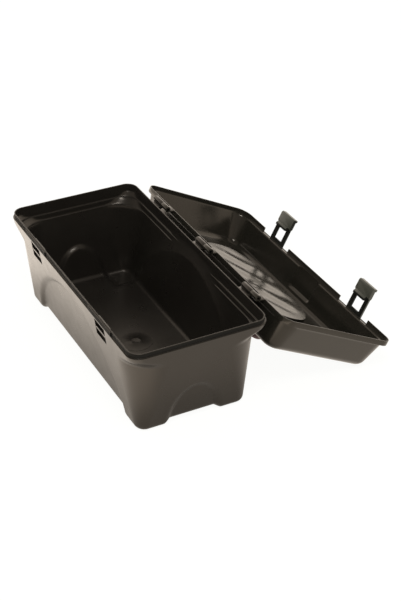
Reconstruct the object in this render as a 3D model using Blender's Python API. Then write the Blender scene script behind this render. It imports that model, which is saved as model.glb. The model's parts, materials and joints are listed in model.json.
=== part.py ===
"""Moulded plastic tool case, standing open: a tub on four feet, a lid on three pinned hinges,
a carrying handle that folds into the lid's top, and two over-centre front latches.

X runs along the case, Y from the latch side to the hinge side, Z up from the ground.
Everything is built with the lid shut and then turned about its hinge to the open position.
"""

import math

import bmesh
import bpy
from mathutils import Matrix

# Tub, outside
CASE_LENGTH = 0.400
CASE_WIDTH = 0.192
CASE_HEIGHT = 0.136
END_DRAFT = 0.165
SIDE_DRAFT = 0.150
WALL = 0.0024
RIM_CORNER = 0.018
WALL_CORNER_TOP = 0.057
WALL_CORNER_FOOT = 0.013
BOTTOM_FILLET = 0.008
FOOT_HEIGHT = 0.0046
COLLAR_HEIGHT = 0.005
FLARE_HEIGHT = 0.020
EDGE = 0.0005

# Rim lip and the two ledges that a tray rests on
LIP_HEIGHT = 0.0062
LIP_INSET = 0.0019
LIP_THICKNESS = 0.0016
TRAY_BAND = 0.018
TRAY_STEP_BAND = 0.008
TRAY_STEP = 0.0016

# Arched recesses in the four walls
RECESS_DEPTH = 0.0042
FOOT_LENGTH = 0.0456
FOOT_WIDTH = 0.044
END_ARCH_HEIGHT = 0.054
END_ARCH_FULLNESS = 2.0
SIDE_ARCH_HEADROOM = 0.0218
SIDE_ARCH_FULLNESS = 1.85
ARCH_SLOPE_RUN = 0.0085
FOOT_SLOPE_RUN = 0.008

# Latch stations on the front rim
LATCH_MARGIN = 0.095
STATION_WIDTH = 0.068
STATION_DROP = 0.0006
POCKET_WIDTH = 0.029
POCKET_DEPTH = 0.011
POCKET_TOP = 0.0025
POCKET_BOTTOM = 0.025
CATCH_HEIGHT = 0.0145
CATCH_THICKNESS = 0.0025

# Lid
SHUT_GAP = 0.0004
LID_DEPTH = 0.0529
SKIRT_THICKNESS = 0.0012
SKIRT_ROOF = 0.0014
LID_END_TAPER = 0.38
LID_FRONT_TAPER = 0.10
LID_BACK_TAPER = 0.20
LID_END_SHOULDER = 0.0010
LID_FRONT_SHOULDER = 0.0039
LID_BACK_SHOULDER = 0.0010
LID_CORNER = 0.026
LID_CORNER_TOP = 0.018
LID_FILLET = 0.0098
GROUND_GAP = 0.0003
FRONT_PANEL_HALF_WIDTH = 0.027
FRONT_PANEL_STEP = 0.0032
FRONT_PANEL_SLOPE_RUN = 0.0015
FRONT_PANEL_TOP = 0.034

# Hinges
HINGE_MARGIN = 0.072
HINGE_SETBACK = 0.0111
HINGE_RISE = 0.0015
HINGE_LENGTH = 0.038
HINGE_LUG_LENGTH = 0.022
HINGE_END_GAP = 0.0004
KNUCKLE_RADIUS = 0.0042
PIN_RADIUS = 0.0016
PIN_CLEARANCE = 0.0003
LUG_DROP = 0.010
LUG_ROOT = 0.003
LUG_TOP_GAP = 0.0004
ARM_THICKNESS = 0.0030

# Handle and the hollow that it folds into
RECESS_HALF_LENGTH = 0.116
RECESS_HALF_WIDTH = 0.057
HANDLE_HOLLOW_DEPTH = 0.017
HOLLOW_SIDE_RUN = 0.009
HOLLOW_FULLNESS = 2.5
HANDLE_HALF_WIDTH = 0.086
HANDLE_REACH = 0.048
HANDLE_CORNER = 0.030
HANDLE_PIVOT_Y = 0.028
HANDLE_PIVOT_DEPTH = 0.008
GRIP_RADIUS = 0.0070
ARM_RADIUS = 0.0048
STUB_RADIUS = 0.0024
STUB_LENGTH = 0.010
STUB_BEND = 0.005
BOSS_LENGTH = 0.006
BOSS_RADIUS = 0.0045
BOSS_SHIFT = 0.0012
HANDLE_CLEARANCE = 0.0003

# Latches
LATCH_WIDTH = 0.034
LATCH_THICKNESS = 0.0026
LATCH_GAP = 0.0005
LATCH_PIVOT_RISE = 0.0115
LATCH_BARREL_RADIUS = 0.0028
AXLE_RADIUS = 0.0013
AXLE_CLEARANCE = 0.0003
WINDOW_WIDTH = 0.019
WINDOW_TOP = 0.002
WINDOW_BOTTOM = 0.0215
CROSSBAR_BOTTOM = 0.0385
CROSSBAR_INWARD = 0.0017
CROSSBAR_OUTWARD = 0.0012
TIP_CURL = 0.0035
TIP_THICKNESS = 0.0028
TONGUE_WIDTH = 0.025
TONGUE_TOP = 0.0175
TONGUE_BOTTOM = 0.0235
TONGUE_DEPTH = 0.0062
EAR_THICKNESS = 0.003
EAR_GAP = 0.0004
EAR_RADIUS = 0.0028

OVERRUN = 0.004

# Counts
CORNER_STEPS = 8
FILLET_STEPS = 5
FLARE_STEPS = 6
ARCH_STEPS = 26
HOLLOW_STEPS = 44
ROUND_SIDES = 20
KNUCKLE_STEPS = 11
EAR_STEPS = 8
STUB_STEPS = 4
HANDLE_CORNER_STEPS = 8
HANDLE_BEVEL_STEPS = 3

# Places that follow from the sizes
FLANGE_TOP = CASE_HEIGHT - LIP_HEIGHT
COLLAR_LOW = FLANGE_TOP - COLLAR_HEIGHT
FLARE_LOW = COLLAR_LOW - FLARE_HEIGHT
SIDE_ARCH_HALF_WIDTH = CASE_LENGTH / 2 - END_DRAFT * FLANGE_TOP - FOOT_LENGTH
SIDE_ARCH_HEIGHT = FLANGE_TOP - SIDE_ARCH_HEADROOM
END_ARCH_HALF_WIDTH = CASE_WIDTH / 2 - SIDE_DRAFT * FLANGE_TOP - FOOT_WIDTH
LATCH_SPACING = CASE_LENGTH - 2 * LATCH_MARGIN
HINGE_SPACING = CASE_LENGTH / 2 - HINGE_MARGIN
FRONT_Y = -CASE_WIDTH / 2
BACK_Y = CASE_WIDTH / 2
HINGE_Y = BACK_Y + HINGE_SETBACK
HINGE_Z = FLANGE_TOP + HINGE_RISE
LID_RIM = FLANGE_TOP + SHUT_GAP
CHANNEL_ROOF = CASE_HEIGHT + SHUT_GAP
SHOULDER_Z = CHANNEL_ROOF + SKIRT_ROOF
LID_TOP = FLANGE_TOP + LID_DEPTH
LATCH_Y = FRONT_Y - LATCH_GAP - LATCH_THICKNESS / 2
LATCH_Z = FLANGE_TOP + LATCH_PIVOT_RISE
HANDLE_Z = LID_TOP - HANDLE_PIVOT_DEPTH
STATIONS = (-LATCH_SPACING / 2, LATCH_SPACING / 2)
HINGES = (-HINGE_SPACING, 0, HINGE_SPACING)

BLACK = (0.030, 0.028, 0.025)
MAROON = (0.080, 0.008, 0.012)
STEEL = (0.55, 0.55, 0.56)


def clear_scene():
    for item in list(bpy.data.objects):
        bpy.data.objects.remove(item)


def new_collection(name):
    collection = bpy.data.collections.new(name)
    bpy.context.scene.collection.children.link(collection)
    return collection


def plastic(name, color, roughness, metallic=0.0):
    material = bpy.data.materials.new(name)
    material.use_nodes = True
    shader = material.node_tree.nodes["Principled BSDF"]
    shader.inputs["Base Color"].default_value = (*color, 1)
    shader.inputs["Roughness"].default_value = roughness
    shader.inputs["Metallic"].default_value = metallic
    return material


def mesh_object(name, bm, collection, material=None):
    """Closes off a bmesh as an object, its faces turned outwards."""
    bmesh.ops.recalc_face_normals(bm, faces=bm.faces)
    mesh = bpy.data.meshes.new(name)
    bm.to_mesh(mesh)
    bm.free()
    mesh.shade_smooth()
    mesh.set_sharp_from_angle(angle=math.radians(32))
    item = bpy.data.objects.new(name, mesh)
    collection.objects.link(item)
    if material:
        mesh.materials.append(material)
    else:
        item.hide_render = True
        item.display_type = "WIRE"
    return item


def ring(half_x, half_y, radius, z, centre_y=0.0):
    """A rectangle with round corners, as points in order."""
    points = []
    for quarter in range(4):
        sign_x = (1, -1, -1, 1)[quarter]
        sign_y = (1, 1, -1, -1)[quarter]
        for step in range(CORNER_STEPS + 1):
            angle = (quarter + step / CORNER_STEPS) * math.pi / 2
            x = sign_x * (half_x - radius) + radius * math.cos(angle)
            y = centre_y + sign_y * (half_y - radius) + radius * math.sin(angle)
            points.append((x, y, z))
    return points


def add_loft(bm, rings):
    """Skins rings of equal point counts and caps both ends."""
    rows = [[bm.verts.new(point) for point in row] for row in rings]
    count = len(rows[0])
    for low, high in zip(rows, rows[1:]):
        for index in range(count):
            after = (index + 1) % count
            bm.faces.new((low[index], low[after], high[after], high[index]))
    bm.faces.new(reversed(rows[0]))
    bm.faces.new(rows[-1])


def loft(name, rings, collection, material=None):
    bm = bmesh.new()
    add_loft(bm, rings)
    return mesh_object(name, bm, collection, material)


def add_block(bm, low, high):
    size = [top - bottom for bottom, top in zip(low, high)]
    centre = [(top + bottom) / 2 for bottom, top in zip(low, high)]
    matrix = Matrix.Translation(centre) @ Matrix.Diagonal((*size, 1))
    bmesh.ops.create_cube(bm, size=1, matrix=matrix)


def add_bar(bm, radius, x_low, x_high, y, z):
    """A round bar along X."""
    place = Matrix.Translation(((x_low + x_high) / 2, y, z)) @ Matrix.Rotation(math.pi / 2, 4, "Y")
    bmesh.ops.create_cone(
        bm,
        cap_ends=True,
        segments=ROUND_SIDES,
        radius1=radius,
        radius2=radius,
        depth=x_high - x_low,
        matrix=place,
    )


def add_prism(bm, outline, x_low, x_high):
    """An outline in Y and Z, extruded along X."""
    face = bm.faces.new([bm.verts.new((x_low, y, z)) for y, z in outline])
    grown = bmesh.ops.extrude_face_region(bm, geom=[face])
    moved = [item for item in grown["geom"] if isinstance(item, bmesh.types.BMVert)]
    bmesh.ops.translate(bm, verts=moved, vec=(x_high - x_low, 0, 0))


def boolean(target, operand, operation):
    modifier = target.modifiers.new(operand.name, "BOOLEAN")
    modifier.operation = operation
    modifier.object = operand


def arc(centre_y, centre_z, radius, start, end, steps):
    """Points of an arc in Y and Z, its angles in degrees from +Y towards +Z."""
    angles = [math.radians(start + (end - start) * step / steps) for step in range(steps + 1)]
    return [(centre_y + radius * math.cos(a), centre_z + radius * math.sin(a)) for a in angles]


# Tub


def case_halves(z, inset=0.0):
    """The half length and half width of the drafted wall at a height."""
    drop = FLANGE_TOP - z
    half_x = CASE_LENGTH / 2 - END_DRAFT * drop - inset
    half_y = CASE_WIDTH / 2 - SIDE_DRAFT * drop - inset
    return half_x, half_y


def case_corner(z):
    """The corner radius: tight at the rim, flaring in under the collar to the wall's own."""
    along_wall = min(max(z / FLANGE_TOP, 0), 1)
    wall = WALL_CORNER_FOOT + (WALL_CORNER_TOP - WALL_CORNER_FOOT) * along_wall
    down = min(max((COLLAR_LOW - z) / FLARE_HEIGHT, 0), 1)
    ease = down * down * (3 - 2 * down)
    return RIM_CORNER + (wall - RIM_CORNER) * ease


def fillet_rings(floor, radius, inset):
    """Rings that round the wall into a floor."""
    rows = []
    for step in range(FILLET_STEPS + 1):
        turn = math.pi / 2 * step / FILLET_STEPS
        z = floor + radius * (1 - math.cos(turn))
        extra = inset + radius * (1 - math.sin(turn))
        rows.append(ring(*case_halves(z, extra), case_corner(z) - extra, z))
    return rows


def case_outside():
    rows = fillet_rings(0, BOTTOM_FILLET, 0)
    for step in range(FLARE_STEPS + 1):
        z = FLARE_LOW + (COLLAR_LOW - FLARE_LOW) * step / FLARE_STEPS
        rows.append(ring(*case_halves(z), case_corner(z), z))
    half_x, half_y = case_halves(FLANGE_TOP)
    for z, inset in (
        (FLANGE_TOP - EDGE, 0),
        (FLANGE_TOP, EDGE),
        (FLANGE_TOP, LIP_INSET),
        (CASE_HEIGHT - EDGE, LIP_INSET),
        (CASE_HEIGHT, LIP_INSET + EDGE),
    ):
        rows.append(ring(half_x - inset, half_y - inset, RIM_CORNER - inset, z))
    return rows


def case_inside():
    rows = fillet_rings(WALL, BOTTOM_FILLET - WALL, WALL)
    half_x, half_y = case_halves(FLANGE_TOP)
    lip = LIP_INSET + LIP_THICKNESS
    upper = CASE_HEIGHT - TRAY_BAND
    lower = upper - TRAY_STEP_BAND
    for z, inset, corner in (
        (lower, lip + 2 * TRAY_STEP, case_corner(lower)),
        (lower, lip + TRAY_STEP, case_corner(lower)),
        (upper, lip + TRAY_STEP, case_corner(upper)),
        (upper, lip, case_corner(upper)),
        ((upper + COLLAR_LOW) / 2, lip, case_corner((upper + COLLAR_LOW) / 2)),
        (COLLAR_LOW, lip, RIM_CORNER - LIP_THICKNESS),
        (CASE_HEIGHT - EDGE, lip, RIM_CORNER - lip),
        (CASE_HEIGHT + OVERRUN, lip - EDGE, RIM_CORNER - lip),
    ):
        rows.append(ring(half_x - inset, half_y - inset, corner, z))
    return rows


def arch_outline(half_width, height, fullness):
    """An arch that stands on the ground line: an ellipse where its fullness is 2."""
    points = [(-half_width, -OVERRUN)]
    for step in range(ARCH_STEPS + 1):
        turn = math.pi * (1 - step / ARCH_STEPS)
        across = math.copysign(abs(math.cos(turn)) ** (2 / fullness), math.cos(turn))
        up = math.sin(turn) ** (2 / fullness) if 0 < step < ARCH_STEPS else 0
        points.append((half_width * across, height * up))
    points.append((half_width, -OVERRUN))
    return points


def arch_recess(bm, half_width, height, fullness, depth, draft, foot, side, along_x):
    """A tapered plug, parallel to the drafted wall, that presses the arch into it."""
    rows = []
    for out in (-depth, OVERRUN):
        grow = ARCH_SLOPE_RUN * (out + depth) / depth
        row = []
        for across, up in arch_outline(half_width + grow, height + grow, fullness):
            reach = side * (foot + draft * up + out)
            row.append((across, reach, up) if along_x else (reach, across, up))
        rows.append(row)
    add_loft(bm, rows)


def arch_plugs(name, collection, grow, depth):
    bm = bmesh.new()
    foot_x, foot_y = case_halves(0)
    for side in (-1, 1):
        arch_recess(
            bm,
            SIDE_ARCH_HALF_WIDTH + grow,
            SIDE_ARCH_HEIGHT + grow,
            SIDE_ARCH_FULLNESS,
            depth,
            SIDE_DRAFT,
            foot_y,
            side,
            True,
        )
        arch_recess(
            bm,
            END_ARCH_HALF_WIDTH + grow,
            END_ARCH_HEIGHT + grow,
            END_ARCH_FULLNESS,
            depth,
            END_DRAFT,
            foot_x,
            side,
            False,
        )
    return mesh_object(name, bm, collection)


def foot_gap(name, collection, half_x, half_y, lift, radius):
    """A slab between the feet, its sides sloping up to the raised bottom."""
    rows = []
    for z in (-OVERRUN, lift, lift + radius):
        grow = FOOT_SLOPE_RUN * max(lift - z, 0) / lift
        corners = ((-1, -1), (1, -1), (1, 1), (-1, 1))
        rows.append([(x * (half_x + grow), y * (half_y + grow), z) for x, y in corners])
    return loft(name, rows, collection)


def foot_gaps(prefix, collection, grow):
    """What is taken out between the feet, up to a bottom that is raised and set in there."""
    lift = FOOT_HEIGHT + grow
    radius = BOTTOM_FILLET - grow
    inset = RECESS_DEPTH - EDGE / 2 + grow
    raised = fillet_rings(lift, radius, inset)
    high = lift + radius + OVERRUN
    raised.append(ring(*case_halves(high, inset), case_corner(high) - inset, high))
    over_x = CASE_LENGTH / 2
    over_y = CASE_WIDTH / 2
    gaps = []
    for way, half_x, half_y in (
        ("lengthwise", over_x, END_ARCH_HALF_WIDTH + grow),
        ("crosswise", SIDE_ARCH_HALF_WIDTH + grow, over_y),
    ):
        gap = foot_gap(prefix + "_" + way, collection, half_x, half_y, lift, radius)
        boolean(gap, loft(prefix + "_raised_" + way, raised, collection), "DIFFERENCE")
        gaps.append(gap)
    return gaps


def station_fill(bm, centre):
    """The plateau in front of the lip that a latch shuts over."""
    add_block(
        bm,
        (centre - STATION_WIDTH / 2, FRONT_Y, FLANGE_TOP - EDGE * 2),
        (centre + STATION_WIDTH / 2, FRONT_Y + LIP_INSET + EDGE, CASE_HEIGHT - STATION_DROP),
    )


def pocket_cells(bm, centre):
    """The two cells of the pocket, with the catch bar standing between them."""
    catch_top = FLANGE_TOP - CATCH_HEIGHT + CATCH_THICKNESS / 2
    catch_low = catch_top - CATCH_THICKNESS
    for low, high in (
        (FLANGE_TOP - POCKET_BOTTOM, catch_low),
        (catch_top, FLANGE_TOP - POCKET_TOP),
    ):
        add_block(
            bm,
            (centre - POCKET_WIDTH / 2, FRONT_Y - OVERRUN, low),
            (centre + POCKET_WIDTH / 2, FRONT_Y + POCKET_DEPTH, high),
        )


def pocket_housing(bm, centre):
    """The room that the pocket's own walls take inside the tub."""
    add_block(
        bm,
        (centre - POCKET_WIDTH / 2 - WALL, FRONT_Y - OVERRUN, FLANGE_TOP - POCKET_BOTTOM - WALL),
        (centre + POCKET_WIDTH / 2 + WALL, FRONT_Y + POCKET_DEPTH + WALL, FLANGE_TOP - POCKET_TOP + WALL),
    )


def lug_span(centre):
    start = centre - HINGE_LENGTH / 2
    return start, start + HINGE_LUG_LENGTH


def clip_span(centre):
    return lug_span(centre)[1] + HINGE_END_GAP, centre + HINGE_LENGTH / 2


def hinge_lug(bm, centre):
    """The tub's half of a hinge: a bracket under the rim that carries the pin."""
    top = FLANGE_TOP - LUG_TOP_GAP
    outline = arc(HINGE_Y, HINGE_Z, KNUCKLE_RADIUS, -60, 205, KNUCKLE_STEPS)
    outline.append((BACK_Y - LUG_ROOT, top))
    outline.append((BACK_Y - LUG_ROOT, top - LUG_DROP))
    add_prism(bm, outline, *lug_span(centre))


def hinge_clip(bm, centre):
    """The lid's half of a hinge: a clip round the pin on a short arm from the skirt."""
    outline = arc(HINGE_Y, HINGE_Z, KNUCKLE_RADIUS, 135, -197, KNUCKLE_STEPS)
    outline.append((BACK_Y - SKIRT_THICKNESS / 2, LID_RIM))
    outline.append((BACK_Y - SKIRT_THICKNESS / 2, LID_RIM + ARM_THICKNESS))
    add_prism(bm, outline, *clip_span(centre))


def pin_bores(bm, spans):
    for low, high in spans:
        add_bar(bm, PIN_RADIUS + PIN_CLEARANCE, low - OVERRUN, high + OVERRUN, HINGE_Y, HINGE_Z)


def build_case(parts, cutters, material):
    body = loft("case_body", case_outside(), parts, material)
    bm = bmesh.new()
    for centre in STATIONS:
        station_fill(bm, centre)
    boolean(body, mesh_object("station_fills", bm, cutters), "UNION")
    boolean(body, arch_plugs("arches_outside", cutters, 0, RECESS_DEPTH), "DIFFERENCE")
    for gap in foot_gaps("foot_gap", cutters, 0):
        boolean(body, gap, "DIFFERENCE")

    hollow = loft("case_hollow", case_inside(), cutters)
    inner_arches = arch_plugs("arches_inside", cutters, WALL, RECESS_DEPTH + WALL)
    boolean(hollow, inner_arches, "DIFFERENCE")
    for gap in foot_gaps("foot_gap_inside", cutters, WALL):
        boolean(hollow, gap, "DIFFERENCE")
    bm = bmesh.new()
    for centre in STATIONS:
        pocket_housing(bm, centre)
    boolean(hollow, mesh_object("pocket_housings", bm, cutters), "DIFFERENCE")
    boolean(body, hollow, "DIFFERENCE")

    bm = bmesh.new()
    for centre in HINGES:
        hinge_lug(bm, centre)
    boolean(body, mesh_object("hinge_lugs", bm, cutters), "UNION")
    bm = bmesh.new()
    for centre in STATIONS:
        pocket_cells(bm, centre)
    pin_bores(bm, [lug_span(centre) for centre in HINGES])
    boolean(body, mesh_object("pockets_and_bores", bm, cutters), "DIFFERENCE")
    return [body]


# Lid, drawn shut


def lid_ring(z, end, front, back, corner):
    """A ring of the lid, given how far each side lies inside the rim's outline."""
    half_y = (CASE_WIDTH - front - back) / 2
    return ring(CASE_LENGTH / 2 - end, half_y, corner, z, (front - back) / 2)


def lid_wall_insets(z, extra=0.0):
    rise = z - SHOULDER_Z
    return (
        LID_END_SHOULDER + LID_END_TAPER * rise + extra,
        LID_FRONT_SHOULDER + LID_FRONT_TAPER * rise + extra,
        LID_BACK_SHOULDER + LID_BACK_TAPER * rise + extra,
    )


def lid_corner(z):
    share = (z - SHOULDER_Z) / (LID_TOP - SHOULDER_Z)
    return LID_CORNER + (LID_CORNER_TOP - LID_CORNER) * share


def lid_crown(top, radius, inset):
    """Rings that round the lid's walls into its top."""
    rows = []
    for step in range(FILLET_STEPS + 1):
        turn = math.pi / 2 * step / FILLET_STEPS
        z = top - radius * (1 - math.sin(turn))
        extra = inset + radius * (1 - math.cos(turn))
        rows.append(lid_ring(z, *lid_wall_insets(z, extra), lid_corner(z) - extra))
    return rows


def lid_outside():
    rows = [
        lid_ring(LID_RIM, 0, 0, 0, RIM_CORNER),
        lid_ring(SHOULDER_Z - EDGE, 0, 0, 0, RIM_CORNER),
        lid_ring(SHOULDER_Z, EDGE, EDGE, EDGE, RIM_CORNER - EDGE),
        lid_ring(SHOULDER_Z, *lid_wall_insets(SHOULDER_Z), LID_CORNER),
    ]
    return rows + lid_crown(LID_TOP, LID_FILLET, 0)


def lid_inside():
    skirt = SKIRT_THICKNESS
    rows = [
        lid_ring(LID_RIM - OVERRUN, skirt, skirt, skirt, RIM_CORNER - skirt),
        lid_ring(CHANNEL_ROOF, skirt, skirt, skirt, RIM_CORNER - skirt),
        lid_ring(CHANNEL_ROOF, *lid_wall_insets(SHOULDER_Z, WALL), LID_CORNER - WALL),
    ]
    return rows + lid_crown(LID_TOP - WALL, LID_FILLET - WALL, WALL)


def hollow_outline(half_x, half_y, z):
    points = []
    for step in range(HOLLOW_STEPS):
        turn = 2 * math.pi * (step + 1 / 2) / HOLLOW_STEPS
        x = math.copysign(abs(math.cos(turn)) ** (2 / HOLLOW_FULLNESS), math.cos(turn))
        y = math.copysign(abs(math.sin(turn)) ** (2 / HOLLOW_FULLNESS), math.sin(turn))
        points.append((half_x * x, half_y * y, z))
    return points


def handle_hollow(name, collection, grow):
    """The leaf-shaped bowl that the handle lies in; grown by the wall it is the bump inside."""
    rows = []
    for step in range(FILLET_STEPS + 1):
        turn = math.pi / 2 * step / FILLET_STEPS
        run = HOLLOW_SIDE_RUN * math.sin(turn)
        z = LID_TOP - grow - HANDLE_HOLLOW_DEPTH * (1 - math.cos(turn))
        half_x = RECESS_HALF_LENGTH + grow - run
        rows.append(hollow_outline(half_x, RECESS_HALF_WIDTH + grow - run, z))
    rows.reverse()
    rows.append(hollow_outline(RECESS_HALF_LENGTH + grow, RECESS_HALF_WIDTH + grow, LID_TOP + OVERRUN))
    return loft(name, rows, collection)


def front_panel(name, collection, shrink, root):
    """The middle of the front wall, which stands out nearly flush with the rim."""
    half = FRONT_PANEL_HALF_WIDTH - shrink
    low = SHOULDER_Z - EDGE
    top = SHOULDER_Z + FRONT_PANEL_TOP - shrink
    if shrink:
        low = CHANNEL_ROOF - EDGE
    rows = []
    for out, spread in ((-root, FRONT_PANEL_SLOPE_RUN), (FRONT_PANEL_STEP - shrink, 0)):
        row = []
        for across, up in ((-1, low), (1, low), (1, top), (-1, top)):
            lean = LID_FRONT_SHOULDER + LID_FRONT_TAPER * (up - SHOULDER_Z)
            row.append((across * (half + spread), FRONT_Y + lean - out, up))
        rows.append(row)
    return loft(name, rows, collection)


def latch_ear(bm, centre, side):
    """A small ear on the lid's front wall that holds one end of a latch's axle."""
    inner = LATCH_WIDTH / 2 + EAR_GAP
    low, high = sorted((centre + side * inner, centre + side * (inner + EAR_THICKNESS)))
    wall_low = FRONT_Y + LID_FRONT_SHOULDER + WALL / 2
    wall_high = wall_low + LID_FRONT_TAPER * (LATCH_Z + EAR_RADIUS - SHOULDER_Z)
    outline = arc(LATCH_Y, LATCH_Z, EAR_RADIUS, 90, 270, EAR_STEPS)
    outline.append((FRONT_Y, SHOULDER_Z - SKIRT_ROOF / 2))
    outline.append((wall_low, SHOULDER_Z - SKIRT_ROOF / 2))
    outline.append((wall_high, LATCH_Z + EAR_RADIUS))
    add_prism(bm, outline, low, high)


def latch_axle(bm, centre):
    half = LATCH_WIDTH / 2 + EAR_GAP + EAR_THICKNESS / 2
    add_bar(bm, AXLE_RADIUS, centre - half, centre + half, LATCH_Y, LATCH_Z)


def boss_span(side):
    start = HANDLE_HALF_WIDTH + ARM_RADIUS + BOSS_SHIFT
    return sorted((side * start, side * (start + BOSS_LENGTH)))


def handle_boss(bm, side):
    """A post in the bowl with an eye for one end of the handle."""
    low, high = boss_span(side)
    floor = LID_TOP - HANDLE_HOLLOW_DEPTH - WALL / 2
    outline = arc(HANDLE_PIVOT_Y, HANDLE_Z, BOSS_RADIUS, 0, 180, KNUCKLE_STEPS)
    outline.append((HANDLE_PIVOT_Y - BOSS_RADIUS, floor))
    outline.append((HANDLE_PIVOT_Y + BOSS_RADIUS, floor))
    add_prism(bm, outline, low, high)


def seat(item, parent, axis_y, axis_z):
    """Hangs an object on an empty, with its origin on that joint's axis."""
    item.data.transform(Matrix.Translation((0, -axis_y, -axis_z)))
    item.parent = parent


def build_lid(parts, cutters, material, hinge):
    shell = loft("lid_shell", lid_outside(), parts, material)
    made = [shell]

    def helper(item):
        made.append(item)
        return item

    boolean(shell, helper(front_panel("front_panel", cutters, 0, WALL)), "UNION")
    boolean(shell, helper(handle_hollow("handle_hollow", cutters, 0)), "DIFFERENCE")

    hollow = helper(loft("lid_hollow", lid_inside(), cutters))
    boolean(hollow, helper(front_panel("front_panel_inside", cutters, WALL, WALL * 2)), "UNION")
    boolean(hollow, helper(handle_hollow("handle_bump", cutters, WALL)), "DIFFERENCE")
    boolean(shell, hollow, "DIFFERENCE")

    bm = bmesh.new()
    for centre in STATIONS:
        low = centre - STATION_WIDTH / 2 - SHUT_GAP
        high = centre + STATION_WIDTH / 2 + SHUT_GAP
        add_block(
            bm,
            (low, FRONT_Y - OVERRUN, LID_RIM - OVERRUN),
            (high, FRONT_Y + SKIRT_THICKNESS + EDGE, CHANNEL_ROOF - STATION_DROP),
        )
    boolean(shell, helper(mesh_object("skirt_notches", bm, cutters)), "DIFFERENCE")

    bm = bmesh.new()
    for centre in HINGES:
        hinge_clip(bm, centre)
    for centre in STATIONS:
        for side in (-1, 1):
            latch_ear(bm, centre, side)
    for side in (-1, 1):
        handle_boss(bm, side)
    boolean(shell, helper(mesh_object("lid_lugs", bm, cutters)), "UNION")

    bm = bmesh.new()
    for centre in STATIONS:
        latch_axle(bm, centre)
    boolean(shell, helper(mesh_object("latch_axles", bm, cutters)), "UNION")

    bm = bmesh.new()
    pin_bores(bm, [clip_span(centre) for centre in HINGES])
    for side in (-1, 1):
        low, high = boss_span(side)
        radius = STUB_RADIUS + HANDLE_CLEARANCE
        add_bar(bm, radius, low - OVERRUN, high + OVERRUN, HANDLE_PIVOT_Y, HANDLE_Z)
    boolean(shell, helper(mesh_object("lid_bores", bm, cutters)), "DIFFERENCE")

    for item in made:
        seat(item, hinge, HINGE_Y, HINGE_Z)
    return [shell]


def build_pins(parts, material):
    pins = []
    for name, centre in zip(("hinge_pin_left", "hinge_pin_middle", "hinge_pin_right"), HINGES):
        bm = bmesh.new()
        half = HINGE_LENGTH / 2
        add_bar(bm, PIN_RADIUS, centre - half, centre + half, HINGE_Y, HINGE_Z)
        pins.append(mesh_object(name, bm, parts, material))
    return pins


# Handle


def handle_path():
    """Points and bar radii of half the handle, from its stub to the middle of the grip.

    The handle is drawn folded flat, so it reaches from its pivots towards the front.
    """
    stub_end = HANDLE_HALF_WIDTH + ARM_RADIUS + STUB_LENGTH
    points = [(stub_end, 0, STUB_RADIUS), (HANDLE_HALF_WIDTH + STUB_BEND, 0, STUB_RADIUS)]
    for step in range(1, STUB_STEPS + 1):
        share = step / STUB_STEPS
        turn = math.pi / 2 * share
        x = HANDLE_HALF_WIDTH + STUB_BEND * (1 - math.sin(turn))
        reach = STUB_BEND * (1 - math.cos(turn))
        points.append((x, reach, STUB_RADIUS + (ARM_RADIUS - STUB_RADIUS) * share))
    straight = HANDLE_REACH - HANDLE_CORNER
    inner = HANDLE_HALF_WIDTH - HANDLE_CORNER
    for step in range(HANDLE_CORNER_STEPS + 1):
        share = step / HANDLE_CORNER_STEPS
        turn = math.pi / 2 * share
        x = inner + HANDLE_CORNER * math.cos(turn)
        reach = straight + HANDLE_CORNER * math.sin(turn)
        points.append((x, reach, ARM_RADIUS + (GRIP_RADIUS - ARM_RADIUS) * share * share))
    points.append((inner / 2, HANDLE_REACH, GRIP_RADIUS))
    return points


def build_handle(parts, material, pivot):
    half = handle_path()
    whole = half + [(-x, reach, radius) for x, reach, radius in reversed(half)]
    curve = bpy.data.curves.new("carry_handle", "CURVE")
    curve.dimensions = "3D"
    curve.bevel_depth = 1
    curve.bevel_resolution = HANDLE_BEVEL_STEPS
    curve.use_fill_caps = True
    spline = curve.splines.new("POLY")
    spline.points.add(len(whole) - 1)
    for point, (x, reach, radius) in zip(spline.points, whole):
        point.co = (x, -reach, 0, 1)
        point.radius = radius
    guide = bpy.data.objects.new("handle_guide", curve)
    bpy.context.scene.collection.objects.link(guide)
    bpy.context.view_layer.update()
    mesh = bpy.data.meshes.new_from_object(guide.evaluated_get(bpy.context.evaluated_depsgraph_get()))
    bpy.data.objects.remove(guide)
    bm = bmesh.new()
    bm.from_mesh(mesh)
    bmesh.ops.remove_doubles(bm, verts=bm.verts, dist=EDGE / 10)
    handle = mesh_object("carry_handle", bm, parts, material)
    handle.parent = pivot
    return [handle]


# Latches, drawn shut and hanging down


def latch_outline():
    """A latch seen from its end, from the axle down to the curled tip."""
    inner = FRONT_Y - LATCH_GAP
    outer = inner - LATCH_THICKNESS
    window = FLANGE_TOP - WINDOW_BOTTOM
    bottom = FLANGE_TOP - CROSSBAR_BOTTOM
    tip = bottom + TIP_THICKNESS
    return [
        (inner, LATCH_Z),
        (inner, window),
        (inner + CROSSBAR_INWARD, window - CROSSBAR_INWARD),
        (inner + CROSSBAR_INWARD, bottom + CROSSBAR_INWARD),
        (inner, bottom),
        (outer - TIP_CURL + EDGE, bottom),
        (outer - TIP_CURL, bottom + EDGE),
        (outer - TIP_CURL, tip),
        (outer - CROSSBAR_OUTWARD, tip + CROSSBAR_OUTWARD),
        (outer - CROSSBAR_OUTWARD, window - CROSSBAR_OUTWARD),
        (outer, window),
        (outer, LATCH_Z),
    ]


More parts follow.
